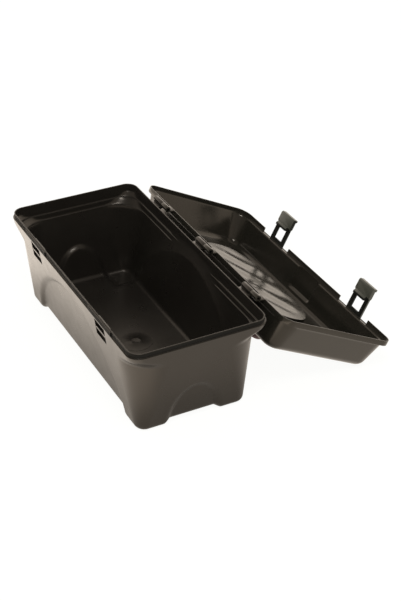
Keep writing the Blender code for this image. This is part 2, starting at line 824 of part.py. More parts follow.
def build_latch(name, centre, parts, cutters, material, hinge):
    half = LATCH_WIDTH / 2
    bm = bmesh.new()
    add_prism(bm, latch_outline(), centre - half, centre + half)
    latch = mesh_object(name, bm, parts, material)

    bm = bmesh.new()
    add_bar(bm, LATCH_BARREL_RADIUS, centre - half, centre + half, LATCH_Y, LATCH_Z)
    barrel = mesh_object(name + "_barrel", bm, cutters)

    bm = bmesh.new()
    inner = FRONT_Y - LATCH_GAP - LATCH_THICKNESS / 2
    low = FLANGE_TOP - TONGUE_BOTTOM
    high = FLANGE_TOP - TONGUE_TOP
    nose = TONGUE_DEPTH - LATCH_GAP
    tongue = [
        (inner, low),
        (FRONT_Y + nose / 2, low),
        (FRONT_Y + nose, (low + high) / 2),
        (FRONT_Y + nose, high),
        (inner, high),
    ]
    add_prism(bm, tongue, centre - TONGUE_WIDTH / 2, centre + TONGUE_WIDTH / 2)
    hook = mesh_object(name + "_tongue", bm, cutters)

    bm = bmesh.new()
    add_block(
        bm,
        (centre - WINDOW_WIDTH / 2, LATCH_Y - OVERRUN * 2, FLANGE_TOP - WINDOW_BOTTOM),
        (centre + WINDOW_WIDTH / 2, LATCH_Y + OVERRUN * 2, FLANGE_TOP + WINDOW_TOP),
    )
    window = mesh_object(name + "_window", bm, cutters)

    bm = bmesh.new()
    radius = AXLE_RADIUS + AXLE_CLEARANCE
    add_bar(bm, radius, centre - half - OVERRUN, centre + half + OVERRUN, LATCH_Y, LATCH_Z)
    bore = mesh_object(name + "_bore", bm, cutters)

    boolean(latch, barrel, "UNION")
    boolean(latch, hook, "UNION")
    boolean(latch, window, "DIFFERENCE")
    boolean(latch, bore, "DIFFERENCE")
    for item in (latch, barrel, hook, window, bore):
        seat(item, hinge, LATCH_Y, LATCH_Z)
        item.location = (0, LATCH_Y - HINGE_Y, LATCH_Z - HINGE_Z)
    return [latch]


# Placing


def lid_front_profile():
    """The lid's front edge from the shoulder to the top, as Y and Z."""
    points = []
    for step in range(FILLET_STEPS + 1):
        turn = math.pi / 2 * step / FILLET_STEPS
        z = LID_TOP - LID_FILLET * (1 - math.sin(turn))
        front = lid_wall_insets(z, LID_FILLET * (1 - math.cos(turn)))[1]
        points.append((FRONT_Y + front, z))
    return points


def open_angle():
    """How far the lid turns before the edge of its top meets the ground."""
    angles = []
    for y, z in lid_front_profile():
        radius = math.hypot(y - HINGE_Y, z - HINGE_Z)
        shut = math.atan2(z - HINGE_Z, y - HINGE_Y)
        angles.append(shut + math.asin((HINGE_Z - GROUND_GAP) / radius))
    return min(angles)


def opened_y(y, z, angle):
    return HINGE_Y + math.cos(angle) * (y - HINGE_Y) + math.sin(angle) * (z - HINGE_Z)


def empty(name, parent, y, z, turn=0.0):
    item = bpy.data.objects.new(name, None)
    bpy.context.scene.collection.objects.link(item)
    item.empty_display_size = KNUCKLE_RADIUS
    item.parent = parent
    item.location = (0, y, z)
    item.rotation_euler = (turn, 0, 0)
    return item


def main():
    clear_scene()
    parts = new_collection("tool_case")
    cutters = new_collection("tool_case_cutters")
    black = plastic("moulded_black", BLACK, 0.42)
    lid_black = plastic("moulded_black_lid", BLACK, 0.42)
    latch_black = plastic("moulded_black_latch", BLACK, 0.38)
    maroon = plastic("moulded_maroon", MAROON, 0.35)
    steel = plastic("pin_steel", STEEL, 0.35, 1.0)

    angle = open_angle()
    far_edge = max(opened_y(y, z, angle) for y, z in latch_outline())
    centre_y = (far_edge + FRONT_Y) / 2
    root = empty("tool_case_origin", None, -centre_y, 0)
    hinge = empty("lid_hinge", root, HINGE_Y, HINGE_Z, -angle)

    # The handle hangs plumb below the upturned lid: folded it points along the shut lid's front.
    hang = angle - math.pi / 2 - math.pi / 2
    pivot = empty(
        "handle_pivot",
        hinge,
        HANDLE_PIVOT_Y - HINGE_Y,
        HANDLE_Z - HINGE_Z,
        -(math.pi / 2 - hang),
    )

    loose = build_case(parts, cutters, black) + build_pins(parts, steel)
    for item in list(cutters.objects) + loose:
        item.parent = root
    build_lid(parts, cutters, lid_black, hinge)
    build_handle(parts, maroon, pivot)
    build_latch("latch_left", STATIONS[0], parts, cutters, latch_black, hinge)
    build_latch("latch_right", STATIONS[1], parts, cutters, latch_black, hinge)

    print(f"lid opens {math.degrees(angle):.3f} degrees, centre moved {centre_y:.6f} m")


main()
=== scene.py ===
"""The looks of an open moulded tool case: fine shells for the tub and the lid, hinge halves,
latches and handle, their plastics and steel, and a plain studio.

The pieces are built with the lid shut, X along the case, Y from the latch side to the hinge
side, Z up from the ground, and then laid over the frame's bodies where they rest.
"""

import json
import math

import bmesh
import bpy
import numpy as np
from mathutils import Matrix, Vector


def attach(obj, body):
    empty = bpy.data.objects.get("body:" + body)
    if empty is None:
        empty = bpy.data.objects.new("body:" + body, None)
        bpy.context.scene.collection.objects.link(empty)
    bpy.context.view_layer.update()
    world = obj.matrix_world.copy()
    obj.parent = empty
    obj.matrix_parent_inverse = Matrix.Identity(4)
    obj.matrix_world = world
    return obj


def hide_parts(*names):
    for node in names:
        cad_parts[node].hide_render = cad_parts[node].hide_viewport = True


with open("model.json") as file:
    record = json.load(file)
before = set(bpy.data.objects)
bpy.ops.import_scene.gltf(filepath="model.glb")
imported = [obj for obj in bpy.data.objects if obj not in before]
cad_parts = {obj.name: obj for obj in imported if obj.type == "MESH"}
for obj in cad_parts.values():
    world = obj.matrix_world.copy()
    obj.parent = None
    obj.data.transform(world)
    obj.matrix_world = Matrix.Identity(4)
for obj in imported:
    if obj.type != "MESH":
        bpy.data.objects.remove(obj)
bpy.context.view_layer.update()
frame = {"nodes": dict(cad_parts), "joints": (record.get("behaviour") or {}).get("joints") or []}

# Tub
CASE_LENGTH = 0.400
CASE_WIDTH = 0.192
CASE_HEIGHT = 0.136
END_DRAFT = 0.165
SIDE_DRAFT = 0.150
WALL = 0.0024
RIM_CORNER = 0.018
WALL_CORNER_TOP = 0.057
WALL_CORNER_FOOT = 0.013
BOTTOM_FILLET = 0.008
FOOT_HEIGHT = 0.0046
COLLAR_HEIGHT = 0.005
FLARE_HEIGHT = 0.020
LIP_HEIGHT = 0.0062
LIP_INSET = 0.0019
LIP_THICKNESS = 0.0016
TRAY_BAND = 0.018
TRAY_STEP_BAND = 0.008
TRAY_STEP = 0.0016
SOFT_EDGE = 0.0006

# Gate mark
GATE_X = 0.002
GATE_Y = 0.0032
GATE_DISC_RADIUS = 0.0235
GATE_DISC_RISE = 0.0003
GATE_RING_RADIUS = 0.0068
GATE_RING_RISE = 0.0008

# Arched recesses
RECESS_DEPTH = 0.0042
MOST_ARCH_GROWTH = 0.05
FOOT_LENGTH = 0.0456
FOOT_WIDTH = 0.044
END_ARCH_HEIGHT = 0.054
END_ARCH_FULLNESS = 2.0
SIDE_ARCH_HEADROOM = 0.0218
SIDE_ARCH_FULLNESS = 1.85
ARCH_SLOPE_RUN = 0.0085
FOOT_SLOPE_RUN = 0.008
ARCH_STEEPENING = 1.7
RAISED_BLEND = 0.030
INNER_END_SLOPE_RUN = 0.0045
INNER_SIDE_SLOPE_RUN = 0.024

# Latch stations
LATCH_MARGIN = 0.095
STATION_WIDTH = 0.068
STATION_DROP = 0.0006
POCKET_WIDTH = 0.029
POCKET_DEPTH = 0.0064
CATCH_SETBACK = 0.0025
POCKET_TOP = 0.0025
POCKET_BOTTOM = 0.025
CATCH_HEIGHT = 0.0145
CATCH_THICKNESS = 0.0025

# Lid
SHUT_GAP = 0.0004
LID_DEPTH = 0.0529
SKIRT_THICKNESS = 0.0012
SKIRT_ROOF = 0.0014
LID_END_TAPER = 0.38
LID_FRONT_TAPER = 0.10
LID_BACK_TAPER = 0.20
LID_END_SHOULDER = 0.0010
LID_FRONT_SHOULDER = 0.0039
LID_BACK_SHOULDER = 0.0010
LID_CORNER = 0.026
LID_CORNER_TOP = 0.018
LID_FILLET = 0.0098
FRONT_PANEL_HALF_WIDTH = 0.027
FRONT_PANEL_STEP = 0.0032
FRONT_PANEL_SLOPE_RUN = 0.0015
FRONT_PANEL_TOP = 0.034

# Hinges
HINGE_MARGIN = 0.072
HINGE_SETBACK = 0.0111
HINGE_RISE = 0.0015
HINGE_LENGTH = 0.038
HINGE_LUG_LENGTH = 0.022
HINGE_END_GAP = 0.0004
KNUCKLE_RADIUS = 0.0042
LUG_DROP = 0.010
LUG_ROOT = 0.003
LUG_TOP_GAP = 0.0004
LUG_TURN = (-60, 205)
CLIP_TURN = (135, -197)
ARM_THICKNESS = 0.0030

# Handle and its hollow
RECESS_HALF_LENGTH = 0.116
RECESS_HALF_WIDTH = 0.057
HANDLE_HOLLOW_DEPTH = 0.017
HOLLOW_SIDE_RUN = 0.009
HOLLOW_FULLNESS = 2.5
WARP_DEPTH = 0.0006
WARP_LENGTH = 0.058
WARP_WIDTH = 0.150
WARP_SWAY = 0.5
WARP_FADE_SHARE = 0.25
HANDLE_HALF_WIDTH = 0.086
HANDLE_REACH = 0.048
HANDLE_CORNER = 0.030
HANDLE_PIVOT_Y = 0.028
HANDLE_PIVOT_DEPTH = 0.008
GRIP_RADIUS = 0.0070
ARM_RADIUS = 0.0048
STUB_RADIUS = 0.0024
STUB_LENGTH = 0.010
STUB_BEND = 0.005
BOSS_LENGTH = 0.006
BOSS_RADIUS = 0.0045
BOSS_SHIFT = 0.0012

# Latches
LATCH_WIDTH = 0.034
LATCH_THICKNESS = 0.0026
LATCH_GAP = 0.0005
LATCH_PIVOT_RISE = 0.0115
LATCH_BARREL_RADIUS = 0.0028
LATCH_EDGE = 0.00042
LATCH_EDGE_ANGLE = 35
AXLE_RADIUS = 0.0013
WINDOW_WIDTH = 0.019
WINDOW_TOP = 0.002
WINDOW_BOTTOM = 0.0215
WINDOW_REACH = 0.0064
CROSSBAR_BOTTOM = 0.0385
CROSSBAR_INWARD = 0.0017
CROSSBAR_OUTWARD = 0.0012
TIP_CURL = 0.0035
TIP_THICKNESS = 0.0028
TONGUE_WIDTH = 0.025
TONGUE_TOP = 0.0175
TONGUE_BOTTOM = 0.0235
TONGUE_DEPTH = 0.0062
EAR_THICKNESS = 0.003
EAR_GAP = 0.0004
EAR_RADIUS = 0.0028

# Plastics: two colours, two roughnesses, scale and depth of the grain, tint and level of the sheen
PLAIN_SHEEN = (1, 1, 1)
WARM_SHEEN = (1, 0.90, 0.79)
PLASTICS = {
    "case_black": (
        (0.013, 0.011, 0.009), (0.017, 0.015, 0.012), 0.27, 0.33,
        1400, 0.00003, WARM_SHEEN, 0.5,
    ),
    "lid_black": (
        (0.013, 0.012, 0.009), (0.018, 0.016, 0.012), 0.16, 0.22,
        1400, 0.00002, WARM_SHEEN, 0.5,
    ),
    # Darker, low-sheen plastic for the lip's outer face: painted shade
    "lip_painted_shade": (
        (0.010, 0.009, 0.007), (0.013, 0.012, 0.010), 0.70, 0.80,
        1400, 0.00003, PLAIN_SHEEN, 0.1,
    ),
    # Greyer plastic for the latches' hook bands: a painted highlight on their lit faces
    "latch_black": (
        (0.050, 0.050, 0.036), (0.064, 0.064, 0.048), 0.32, 0.40,
        1500, 0.00003, PLAIN_SHEEN, 0.5,
    ),
    "arm_black": (
        (0.010, 0.010, 0.008), (0.013, 0.013, 0.010), 0.45, 0.55,
        1500, 0.00003, PLAIN_SHEEN, 0.12,
    ),
    "handle_maroon": (
        (0.034, 0.003, 0.006), (0.048, 0.005, 0.009), 0.42, 0.50,
        1400, 0.00003, PLAIN_SHEEN, 0.25,
    ),
}
DRIFT_SCALE = 14.0
SHEEN_SCALE = 55.0
SHEEN_DETAIL = 4.0
GRAIN_DETAIL = 2.0

# Steel of the hinge pins
STEEL_DARK = (0.42, 0.42, 0.43)
STEEL_LIGHT = (0.6, 0.6, 0.61)
STEEL_ROUGHNESS = (0.25, 0.45)
STEEL_SCALE = 300.0

# Noise runs mostly between these two
NOISE_LOW = 0.3
NOISE_HIGH = 0.7

# Studio
WHITE = (1, 1, 0.985, 1)
WARM_WHITE = (*WARM_SHEEN, 1)
FLOOR_COLOR = (0.8, 0.8, 0.79, 1)
FLOOR_ROUGHNESS = 0.9
FLOOR_REACH = 4.0
# Painted light in the floor's reflections: brighter towards -X and -Y, with painted shade close round the tub
FLOOR_SIDES_X = (-0.20, 0.05)
FLOOR_PAINTED_LIGHT_LEVELS = (2.9, 2.0)
FLOOR_BACK_Y = (-0.26, -0.12)
FLOOR_PAINTED_LIGHT_BACK_SHARES = (1.0, 0.5)
FLOOR_NEAR_REACH = (0.0, 0.09)
FLOOR_PAINTED_SHADE_SHARES = (0.5, 1.0)
FLOOR_GLOW = 1.06
FLOOR_GLOW_SHARE = 0.9
SKY_FADE = (0.10, 1.0)
SKY_LEVELS = (1.9, 0.3)
SKY_BRIGHT_SIDE = (-0.72, 0.69, 0.0)
SKY_SIDE_FADE = (-0.4, 0.6)
SKY_SIDE_SHARES = (0.35, 1.0)
WORLD_LIGHT = 0.75
KEY_PLACE = (0.75, -0.35, 1.6)
KEY_AIM = (0, 0, 0.05)
KEY_SIZE = 0.45
KEY_WATTS = 9

# Camera
PHOTO_WIDTH_PIXELS = 401
FOCAL_LENGTH_PIXELS = 1370.848
SENSOR_WIDTH = 36.0
CAMERA_SHIFT = (0.0368, -0.0149)
CAMERA_PLACE = (1.3974, -0.6516, 1.0791)
CAMERA_YAW = 62.3646
CAMERA_PITCH = 32.8657
CAMERA_ROLL = 0.7957

# Fineness of the shells
MARK_PITCH = 0.0025
ROW_PITCH = 0.0020
STEP_RUN = 0.00015
EXTRA_COLUMNS = 5
CORNER_STEPS = 16
FILLET_STEPS = 10
FLOOR_RINGS = 14
TUB_FLOOR_RINGS = 42
FLOOR_MIDDLE_SHARE = 0.02
LONG_REACH = 0.1425
SHORT_REACH = 0.0425
ROOF_SHARES = (0.25, 0.5, 0.75)
GROWTH_HALVINGS = 24
GATE_STEPS = 64

# Places that follow
FLANGE_TOP = CASE_HEIGHT - LIP_HEIGHT
COLLAR_LOW = FLANGE_TOP - COLLAR_HEIGHT
SIDE_ARCH_HALF_WIDTH = CASE_LENGTH / 2 - END_DRAFT * FLANGE_TOP - FOOT_LENGTH
SIDE_ARCH_HEIGHT = FLANGE_TOP - SIDE_ARCH_HEADROOM
END_ARCH_HALF_WIDTH = CASE_WIDTH / 2 - SIDE_DRAFT * FLANGE_TOP - FOOT_WIDTH
LATCH_SPACING = CASE_LENGTH - 2 * LATCH_MARGIN
HINGE_SPACING = CASE_LENGTH / 2 - HINGE_MARGIN
FRONT_Y = -CASE_WIDTH / 2
BACK_Y = CASE_WIDTH / 2
HINGE_Y = BACK_Y + HINGE_SETBACK
HINGE_Z = FLANGE_TOP + HINGE_RISE
LID_RIM = FLANGE_TOP + SHUT_GAP
CHANNEL_ROOF = CASE_HEIGHT + SHUT_GAP
SHOULDER_Z = CHANNEL_ROOF + SKIRT_ROOF
LID_TOP = FLANGE_TOP + LID_DEPTH
LATCH_Y = FRONT_Y - LATCH_GAP - LATCH_THICKNESS / 2
LATCH_Z = FLANGE_TOP + LATCH_PIVOT_RISE
HANDLE_Z = LID_TOP - HANDLE_PIVOT_DEPTH
NOTCH_WIDTH = STATION_WIDTH + 2 * SHUT_GAP + 4 * STEP_RUN
CATCH_TOP = FLANGE_TOP - CATCH_HEIGHT + CATCH_THICKNESS / 2
STATIONS = (-LATCH_SPACING / 2, LATCH_SPACING / 2)
HINGES = (-HINGE_SPACING, 0, HINGE_SPACING)

JOINTS = {joint["name"]: joint for joint in frame["joints"]}
HINGE_AT_REST = JOINTS["lid_hinge"]["pos_m"]
LATCH_AT_REST = JOINTS["left_latch_swing"]["pos_m"]
CENTRE_Y = HINGE_Y - HINGE_AT_REST[1]
SHUT_TURN = math.atan2(LATCH_Z - HINGE_Z, LATCH_Y - HINGE_Y)
REST_TURN = math.atan2(LATCH_AT_REST[2] - HINGE_AT_REST[2], LATCH_AT_REST[1] - HINGE_AT_REST[1])
OPEN_ANGLE = (SHUT_TURN - REST_TURN) % math.tau

TO_ROW = Matrix.Translation((0, -CENTRE_Y, 0))
TO_OPEN = (
    TO_ROW
    @ Matrix.Translation((0, HINGE_Y, HINGE_Z))
    @ Matrix.Rotation(-OPEN_ANGLE, 4, "X")
    @ Matrix.Translation((0, -HINGE_Y, -HINGE_Z))
)


# Meshes


def finish_mesh(name, mesh, place, material, body, sharp=40):
    mesh.transform(place)
    mesh.shade_smooth()
    mesh.set_sharp_from_angle(angle=math.radians(sharp))
    if material:
        mesh.materials.append(material)
    item = bpy.data.objects.new(name, mesh)
    bpy.context.scene.collection.objects.link(item)
    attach(item, body)
    return item


def mesh_from_rings(name, rings):
    """Skins rings of points, in order, and closes both ends with a fan."""
    rings = np.asarray(rings)
    rows, count = rings.shape[:2]
    start = rings[0].mean(axis=0)
    end = rings[-1].mean(axis=0)
    points = np.vstack([rings.reshape(-1, 3), start, end])
    first = rows * count
    index = np.arange(rows * count).reshape(rows, count)
    after = np.roll(index, -1, axis=1)
    quads = np.stack([index[:-1], after[:-1], after[1:], index[1:]], axis=-1).reshape(-1, 4)
    faces = quads.tolist()
    faces += [(first, int(b), int(a)) for a, b in zip(index[0], after[0])]
    faces += [(first + 1, int(a), int(b)) for a, b in zip(index[-1], after[-1])]
    mesh = bpy.data.meshes.new(name)
    mesh.from_pydata(points.tolist(), [], faces)
    bm = bmesh.new()
    bm.from_mesh(mesh)
    bmesh.ops.recalc_face_normals(bm, faces=bm.faces)
    bm.to_mesh(mesh)
    bm.free()
    return mesh


def marks(reach, pitch, steps):
    """Even places out to a reach on both sides, with a close pair at each step."""
    even = np.linspace(-reach, reach, 2 * round(reach / pitch) + 1)
    far = [place for place in even if all(abs(place - step) > pitch / 3 for step in steps)]
    pairs = [step + side * STEP_RUN for step in steps for side in (-1, 1)]
    return np.array(sorted(far + pairs))


def station_steps():
    steps = []
    for centre in STATIONS:
        for half in (POCKET_WIDTH / 2, POCKET_WIDTH / 2 + WALL, STATION_WIDTH / 2, NOTCH_WIDTH / 2):
            steps += [centre - half, centre + half]
    return steps


PANEL_STEPS = [-FRONT_PANEL_HALF_WIDTH, FRONT_PANEL_HALF_WIDTH]
LONG_MARKS = marks(LONG_REACH, MARK_PITCH, station_steps() + PANEL_STEPS)
SHORT_MARKS = marks(SHORT_REACH, MARK_PITCH, [])


def side_places(places, straight):
    """Columns along a straight side: the fixed places, then a few out to the corner."""
    share = np.linspace(0, 1, EXTRA_COLUMNS + 1)[1:-1]
    extra = places[-1] + (straight - places[-1]) * share
    return np.concatenate([-extra[::-1], places, extra])


def ring(half_x, half_y, radius, z, middle=0.0):
    """A rounded rectangle at one height; every ring has the same number of columns."""
    along_x = side_places(LONG_MARKS, half_x - radius)
    along_y = side_places(SHORT_MARKS, half_y - radius)
    turn = np.linspace(0, math.pi / 2, CORNER_STEPS + 1)
    corner_x = half_x - radius + radius * np.cos(turn)
    corner_y = half_y - radius + radius * np.sin(turn)
    wide = np.full(len(along_y), half_x)
    deep = np.full(len(along_x), half_y)
    xs = [wide, corner_x, along_x[::-1], -corner_x[::-1], -wide, -corner_x, along_x, corner_x[::-1]]
    ys = [along_y, corner_y, deep, corner_y[::-1], along_y[::-1], -corner_y, -deep, -corner_y[::-1]]
    x = np.concatenate(xs)
    y = np.concatenate(ys) + middle
    return np.stack([x, y, np.full(len(x), z)], axis=-1)


def toward(points, other, shares):
    """Rings between two outlines with the same columns."""
    return [points + (other - points) * share for share in shares]


def smooth(value):
    value = np.clip(value, 0, 1)
    return value * value * (3 - 2 * value)


def superellipse_growth(across, up, half_width, height, fullness, most):
    """How far an outline must grow to pass through a point."""
    low = np.full(np.shape(across), -min(half_width, height) / 2)
    high = np.full(np.shape(across), most)
    for _ in range(GROWTH_HALVINGS):
        middle = (low + high) / 2
        size = (np.abs(across) / (half_width + middle)) ** fullness
        size = size + (np.clip(up, 0, None) / (height + middle)) ** fullness
        inside = size < 1
        high = np.where(inside, middle, high)
        low = np.where(inside, low, middle)
    return (low + high) / 2


def arch_depth(across, up, half_width, height, fullness, run):
    """The depth of an arched recess: full inside the arch, easing out over its slope."""
    grown = superellipse_growth(across, up, half_width, height, fullness, MOST_ARCH_GROWTH)
    return RECESS_DEPTH * np.clip(1 - grown / run, 0, 1) ** ARCH_STEEPENING


def press_arches(points, grow, wall, roundings, end_run, side_run):
    """Presses the four arches into rows of a drafted wall, past each row's own rounding."""
    x, y, z = points[..., 0], points[..., 1], points[..., 2]
    foot_x, foot_y = case_halves(0.0)
    end_arch = (END_ARCH_HALF_WIDTH + grow, END_ARCH_HEIGHT + grow, END_ARCH_FULLNESS)
    side_arch = (SIDE_ARCH_HALF_WIDTH + grow, SIDE_ARCH_HEIGHT + grow, SIDE_ARCH_FULLNESS)
    depth = arch_depth(y, z, *end_arch, end_run)
    limit = foot_x + END_DRAFT * z - wall - depth - roundings
    x[:] = np.sign(x) * np.where(depth > 0, np.minimum(np.abs(x), limit), np.abs(x))
    depth = arch_depth(x, z, *side_arch, side_run)
    limit = foot_y + SIDE_DRAFT * z - wall - depth - roundings
    y[:] = np.sign(y) * np.where(depth > 0, np.minimum(np.abs(y), limit), np.abs(y))


def gap_shares(x, y, grow):
    """How much of the lift a place has, in the lengthwise gap and in the crosswise one."""
    lengthwise = 1 - (np.abs(y) - END_ARCH_HALF_WIDTH - grow) / FOOT_SLOPE_RUN
    crosswise = 1 - (np.abs(x) - SIDE_ARCH_HALF_WIDTH - grow) / FOOT_SLOPE_RUN
    return np.clip(lengthwise, 0, 1), np.clip(crosswise, 0, 1)


def lift_wall(points, grow):
    """Slides the foot of the wall up its drafted plane between the feet."""
    x, y, z = points[..., 0], points[..., 1], points[..., 2]
    lengthwise, crosswise = gap_shares(x, y, grow)
    at_end = np.abs(x) > np.abs(x).max(axis=-1, keepdims=True) - STEP_RUN
    at_side = np.abs(y) > np.abs(y).max(axis=-1, keepdims=True) - STEP_RUN
    fade = np.clip(1 - (z - BOTTOM_FILLET) / RAISED_BLEND, 0, 1)
    rise = FOOT_HEIGHT * fade * np.maximum(lengthwise * at_end, crosswise * at_side)
    x += np.sign(x) * END_DRAFT * rise * at_end
    y += np.sign(y) * SIDE_DRAFT * rise * at_side
    z += rise


def lift_floor(points, grow):
    """Raises the floor between the feet."""
    x, y, z = points[..., 0], points[..., 1], points[..., 2]
    z += FOOT_HEIGHT * np.maximum(*gap_shares(x, y, grow))


def case_halves(z, inset=0.0):
    """Half the tub's length and half its width at a height."""
    drop = FLANGE_TOP - z
    return CASE_LENGTH / 2 - END_DRAFT * drop - inset, CASE_WIDTH / 2 - SIDE_DRAFT * drop - inset


def case_corner(z):
    """The radius of the tub's corners: small at the rim, widest under the flare, small at the foot."""
    wall = WALL_CORNER_FOOT + (WALL_CORNER_TOP - WALL_CORNER_FOOT) * min(max(z / FLANGE_TOP, 0), 1)
    down = min(max((COLLAR_LOW - z) / FLARE_HEIGHT, 0), 1)
    return RIM_CORNER + (wall - RIM_CORNER) * smooth(down)


def case_ring(z, inset, corner_inset=None):
    corner = case_corner(z) - (inset if corner_inset is None else corner_inset)
    return ring(*case_halves(z, inset), corner, z)


def rim_ring(inset, z):
    half_x, half_y = case_halves(FLANGE_TOP)
    return ring(half_x - inset, half_y - inset, RIM_CORNER - inset, z)


def roundings(radius, rows):
    """How far each row stands in from its wall: the rows of the rounding first, then none."""
    turn = np.linspace(0, math.pi / 2, FILLET_STEPS + 1)
    inward = np.zeros((rows, 1))
    inward[: FILLET_STEPS + 1, 0] = radius * (1 - np.sin(turn))
    return inward


def fillet_rings(floor, radius, inset):
    rows = []
    for step in range(FILLET_STEPS + 1):
        turn = math.pi / 2 * step / FILLET_STEPS
        z = floor + radius * (1 - math.cos(turn))
        extra = inset + radius * (1 - math.sin(turn))
        rows.append(ring(*case_halves(z, extra), case_corner(z) - extra, z))
    return rows


def levels(low, high, steps):
    """Even heights between two, with a close pair at each step."""
    even = np.linspace(low, high, max(2, round((high - low) / ROW_PITCH) + 1))
    far = [z for z in even if all(abs(z - step) > ROW_PITCH / 3 for step in steps)]
    pairs = [step + side * STEP_RUN for step in steps for side in (-1, 1)]
    return sorted(far + pairs)


def near_station(x, half):
    return np.min([np.abs(x - centre) for centre in STATIONS], axis=0) < half


def outer_tub():
    """The outside of the wall from the ground to the flange, with the latch pockets sunk in."""
    rows = fillet_rings(0, BOTTOM_FILLET, 0)
    steps = [
        FLANGE_TOP - POCKET_BOTTOM,
        CATCH_TOP - CATCH_THICKNESS,
        CATCH_TOP,
        FLANGE_TOP - POCKET_TOP,
    ]
    rows += [case_ring(z, 0, 0) for z in levels(BOTTOM_FILLET, FLANGE_TOP - SOFT_EDGE, steps)[1:]]
    points = np.array(rows)
    lift_wall(points, 0)
    press_arches(points, 0, 0, roundings(BOTTOM_FILLET, len(rows)), ARCH_SLOPE_RUN, ARCH_SLOPE_RUN)
    x, y, z = points[..., 0], points[..., 1], points[..., 2]
    pocket = (y < 0) & near_station(x, POCKET_WIDTH / 2)
    pocket = pocket & (z > FLANGE_TOP - POCKET_BOTTOM) & (z < FLANGE_TOP - POCKET_TOP)
    bar = pocket & (z > CATCH_TOP - CATCH_THICKNESS) & (z < CATCH_TOP)
    y[pocket] = FRONT_Y + POCKET_DEPTH
    y[bar] = FRONT_Y + CATCH_SETBACK
    return points


def soft_corner(inset, z, radius, start, end, steps=3):
    """Places round a small edge, its angles in degrees from outwards to upwards."""
    places = []
    for step in range(steps + 1):
        turn = math.radians(start + (end - start) * step / steps)
        places.append((inset - radius * math.cos(turn), z + radius * math.sin(turn)))
    return places


def tub_rim():
    """The flange, and the lip that stands on it, with the plateaus of the latch stations."""
    edge = SOFT_EDGE
    top = edge / 2
    flange = soft_corner(edge, FLANGE_TOP - edge, edge, 0, 90)
    flange.append((LIP_INSET - top, FLANGE_TOP))
    lip = [(LIP_INSET, FLANGE_TOP + top)]
    lip += soft_corner(LIP_INSET + top, CASE_HEIGHT - top, top, 0, 90)
    lip += soft_corner(LIP_INSET + LIP_THICKNESS - top, CASE_HEIGHT - top, top, 90, 180)
    points = np.array([rim_ring(inset, z) for inset, z in flange + lip])
    x, y, z = points[..., 0], points[..., 1], points[..., 2]
    station = (y < -BACK_Y / 2) & near_station(x, STATION_WIDTH / 2)
    plateau = CASE_HEIGHT - STATION_DROP
    raised = station.copy()
    raised[len(flange):] = False
    z[raised] += plateau - FLANGE_TOP
    z[station] = np.maximum(z[station], plateau - edge)
    return points


def ledges(lip, upper, lower):
    """Heights and insets down the two ledges inside the rim, with their edges rounded."""
    edge = SOFT_EDGE
    places = [(z, lip) for z in np.linspace(COLLAR_LOW, upper + edge, 5)[1:]]
    for turn in np.linspace(0.3, math.pi / 2, 3):
        places.append((upper + edge * (1 - math.sin(turn)), lip + edge * (1 - math.cos(turn))))
    places.append((upper, lip + TRAY_STEP - edge))
    for turn in np.linspace(0.4, math.pi / 2, 3):
        inset = lip + TRAY_STEP - edge * (1 - math.sin(turn))
        places.append((upper - edge * (1 - math.cos(turn)), inset))
    places += [(z, lip + TRAY_STEP) for z in np.linspace(upper - edge, lower + edge, 4)[1:]]
    places.append((lower, lip + TRAY_STEP + edge / 2))
    places.append((lower, lip + 2 * TRAY_STEP - edge))
    places.append((lower - edge, lip + 2 * TRAY_STEP))
    return places


def inner_tub():
    """The inside of the wall from the lip down to the floor, with the housings of the pockets."""
    lip = LIP_INSET + LIP_THICKNESS
    upper = CASE_HEIGHT - TRAY_BAND
    lower = upper - TRAY_STEP_BAND
    edge = SOFT_EDGE
    half_x, half_y = case_halves(FLANGE_TOP)
    rows = [rim_ring(lip, z) for z in np.linspace(CASE_HEIGHT - edge, COLLAR_LOW, 7)]
    for z, inset in ledges(lip, upper, lower):
        corner = RIM_CORNER - lip if z >= COLLAR_LOW else case_corner(z)
        rows.append(ring(half_x - inset, half_y - inset, corner, z))
    down = fillet_rings(WALL, BOTTOM_FILLET - WALL, WALL)
    housing = FLANGE_TOP - POCKET_BOTTOM - WALL
    wall = [case_ring(z, WALL) for z in levels(BOTTOM_FILLET, lower - 2 * edge, [housing])[1:]]
    rows += (down + wall)[::-1]
    points = np.array(rows)
    lift_wall(points, WALL)
    inward = roundings(BOTTOM_FILLET - WALL, len(rows))[::-1]
    press_arches(points, WALL, WALL, inward, INNER_END_SLOPE_RUN, INNER_SIDE_SLOPE_RUN)
    x, y, z = points[..., 0], points[..., 1], points[..., 2]
    boxed = (y < 0) & near_station(x, POCKET_WIDTH / 2 + WALL)
    boxed = boxed & (z > housing) & (z < FLANGE_TOP - POCKET_TOP + WALL)
    y[boxed] = np.maximum(y[boxed], FRONT_Y + POCKET_DEPTH + WALL)
    return points


def shrunk(points, count):
    """Rings that close a floor, from its edge to near its middle."""
    middle = points.mean(axis=0)
    return [middle + (points - middle) * share for share in np.linspace(1, FLOOR_MIDDLE_SHARE, count + 1)[1:]]


def tub_floor(outline, floor, grow):
    points = outline.copy()
    points[:, 2] = floor
    rings = np.array(shrunk(points, TUB_FLOOR_RINGS))
    lift_floor(rings, grow)
    return rings


def paint_lip_shade(mesh, shade_plastic):
    """Gives the lip's outer face, which the lid's skirt covers when shut, a darker, low-sheen plastic:
    painted shade, as if this face lay in shadow.
    """
    mesh.materials.append(shade_plastic)
    half_x, half_y = case_halves(FLANGE_TOP)
    for face in mesh.polygons:
        x, y, z = face.center
        past_x = abs(x) - half_x
        past_y = abs(y) - half_y
        past = max(past_x, past_y)
        if min(past_x, past_y) > -RIM_CORNER:
            past = math.hypot(past_x + RIM_CORNER, past_y + RIM_CORNER) - RIM_CORNER
        upright = FLANGE_TOP + SOFT_EDGE / 2 < z < CASE_HEIGHT - SOFT_EDGE and abs(face.normal.z) < 0.5
        if upright and past > -LIP_INSET - LIP_THICKNESS / 2:
            face.material_index = 1


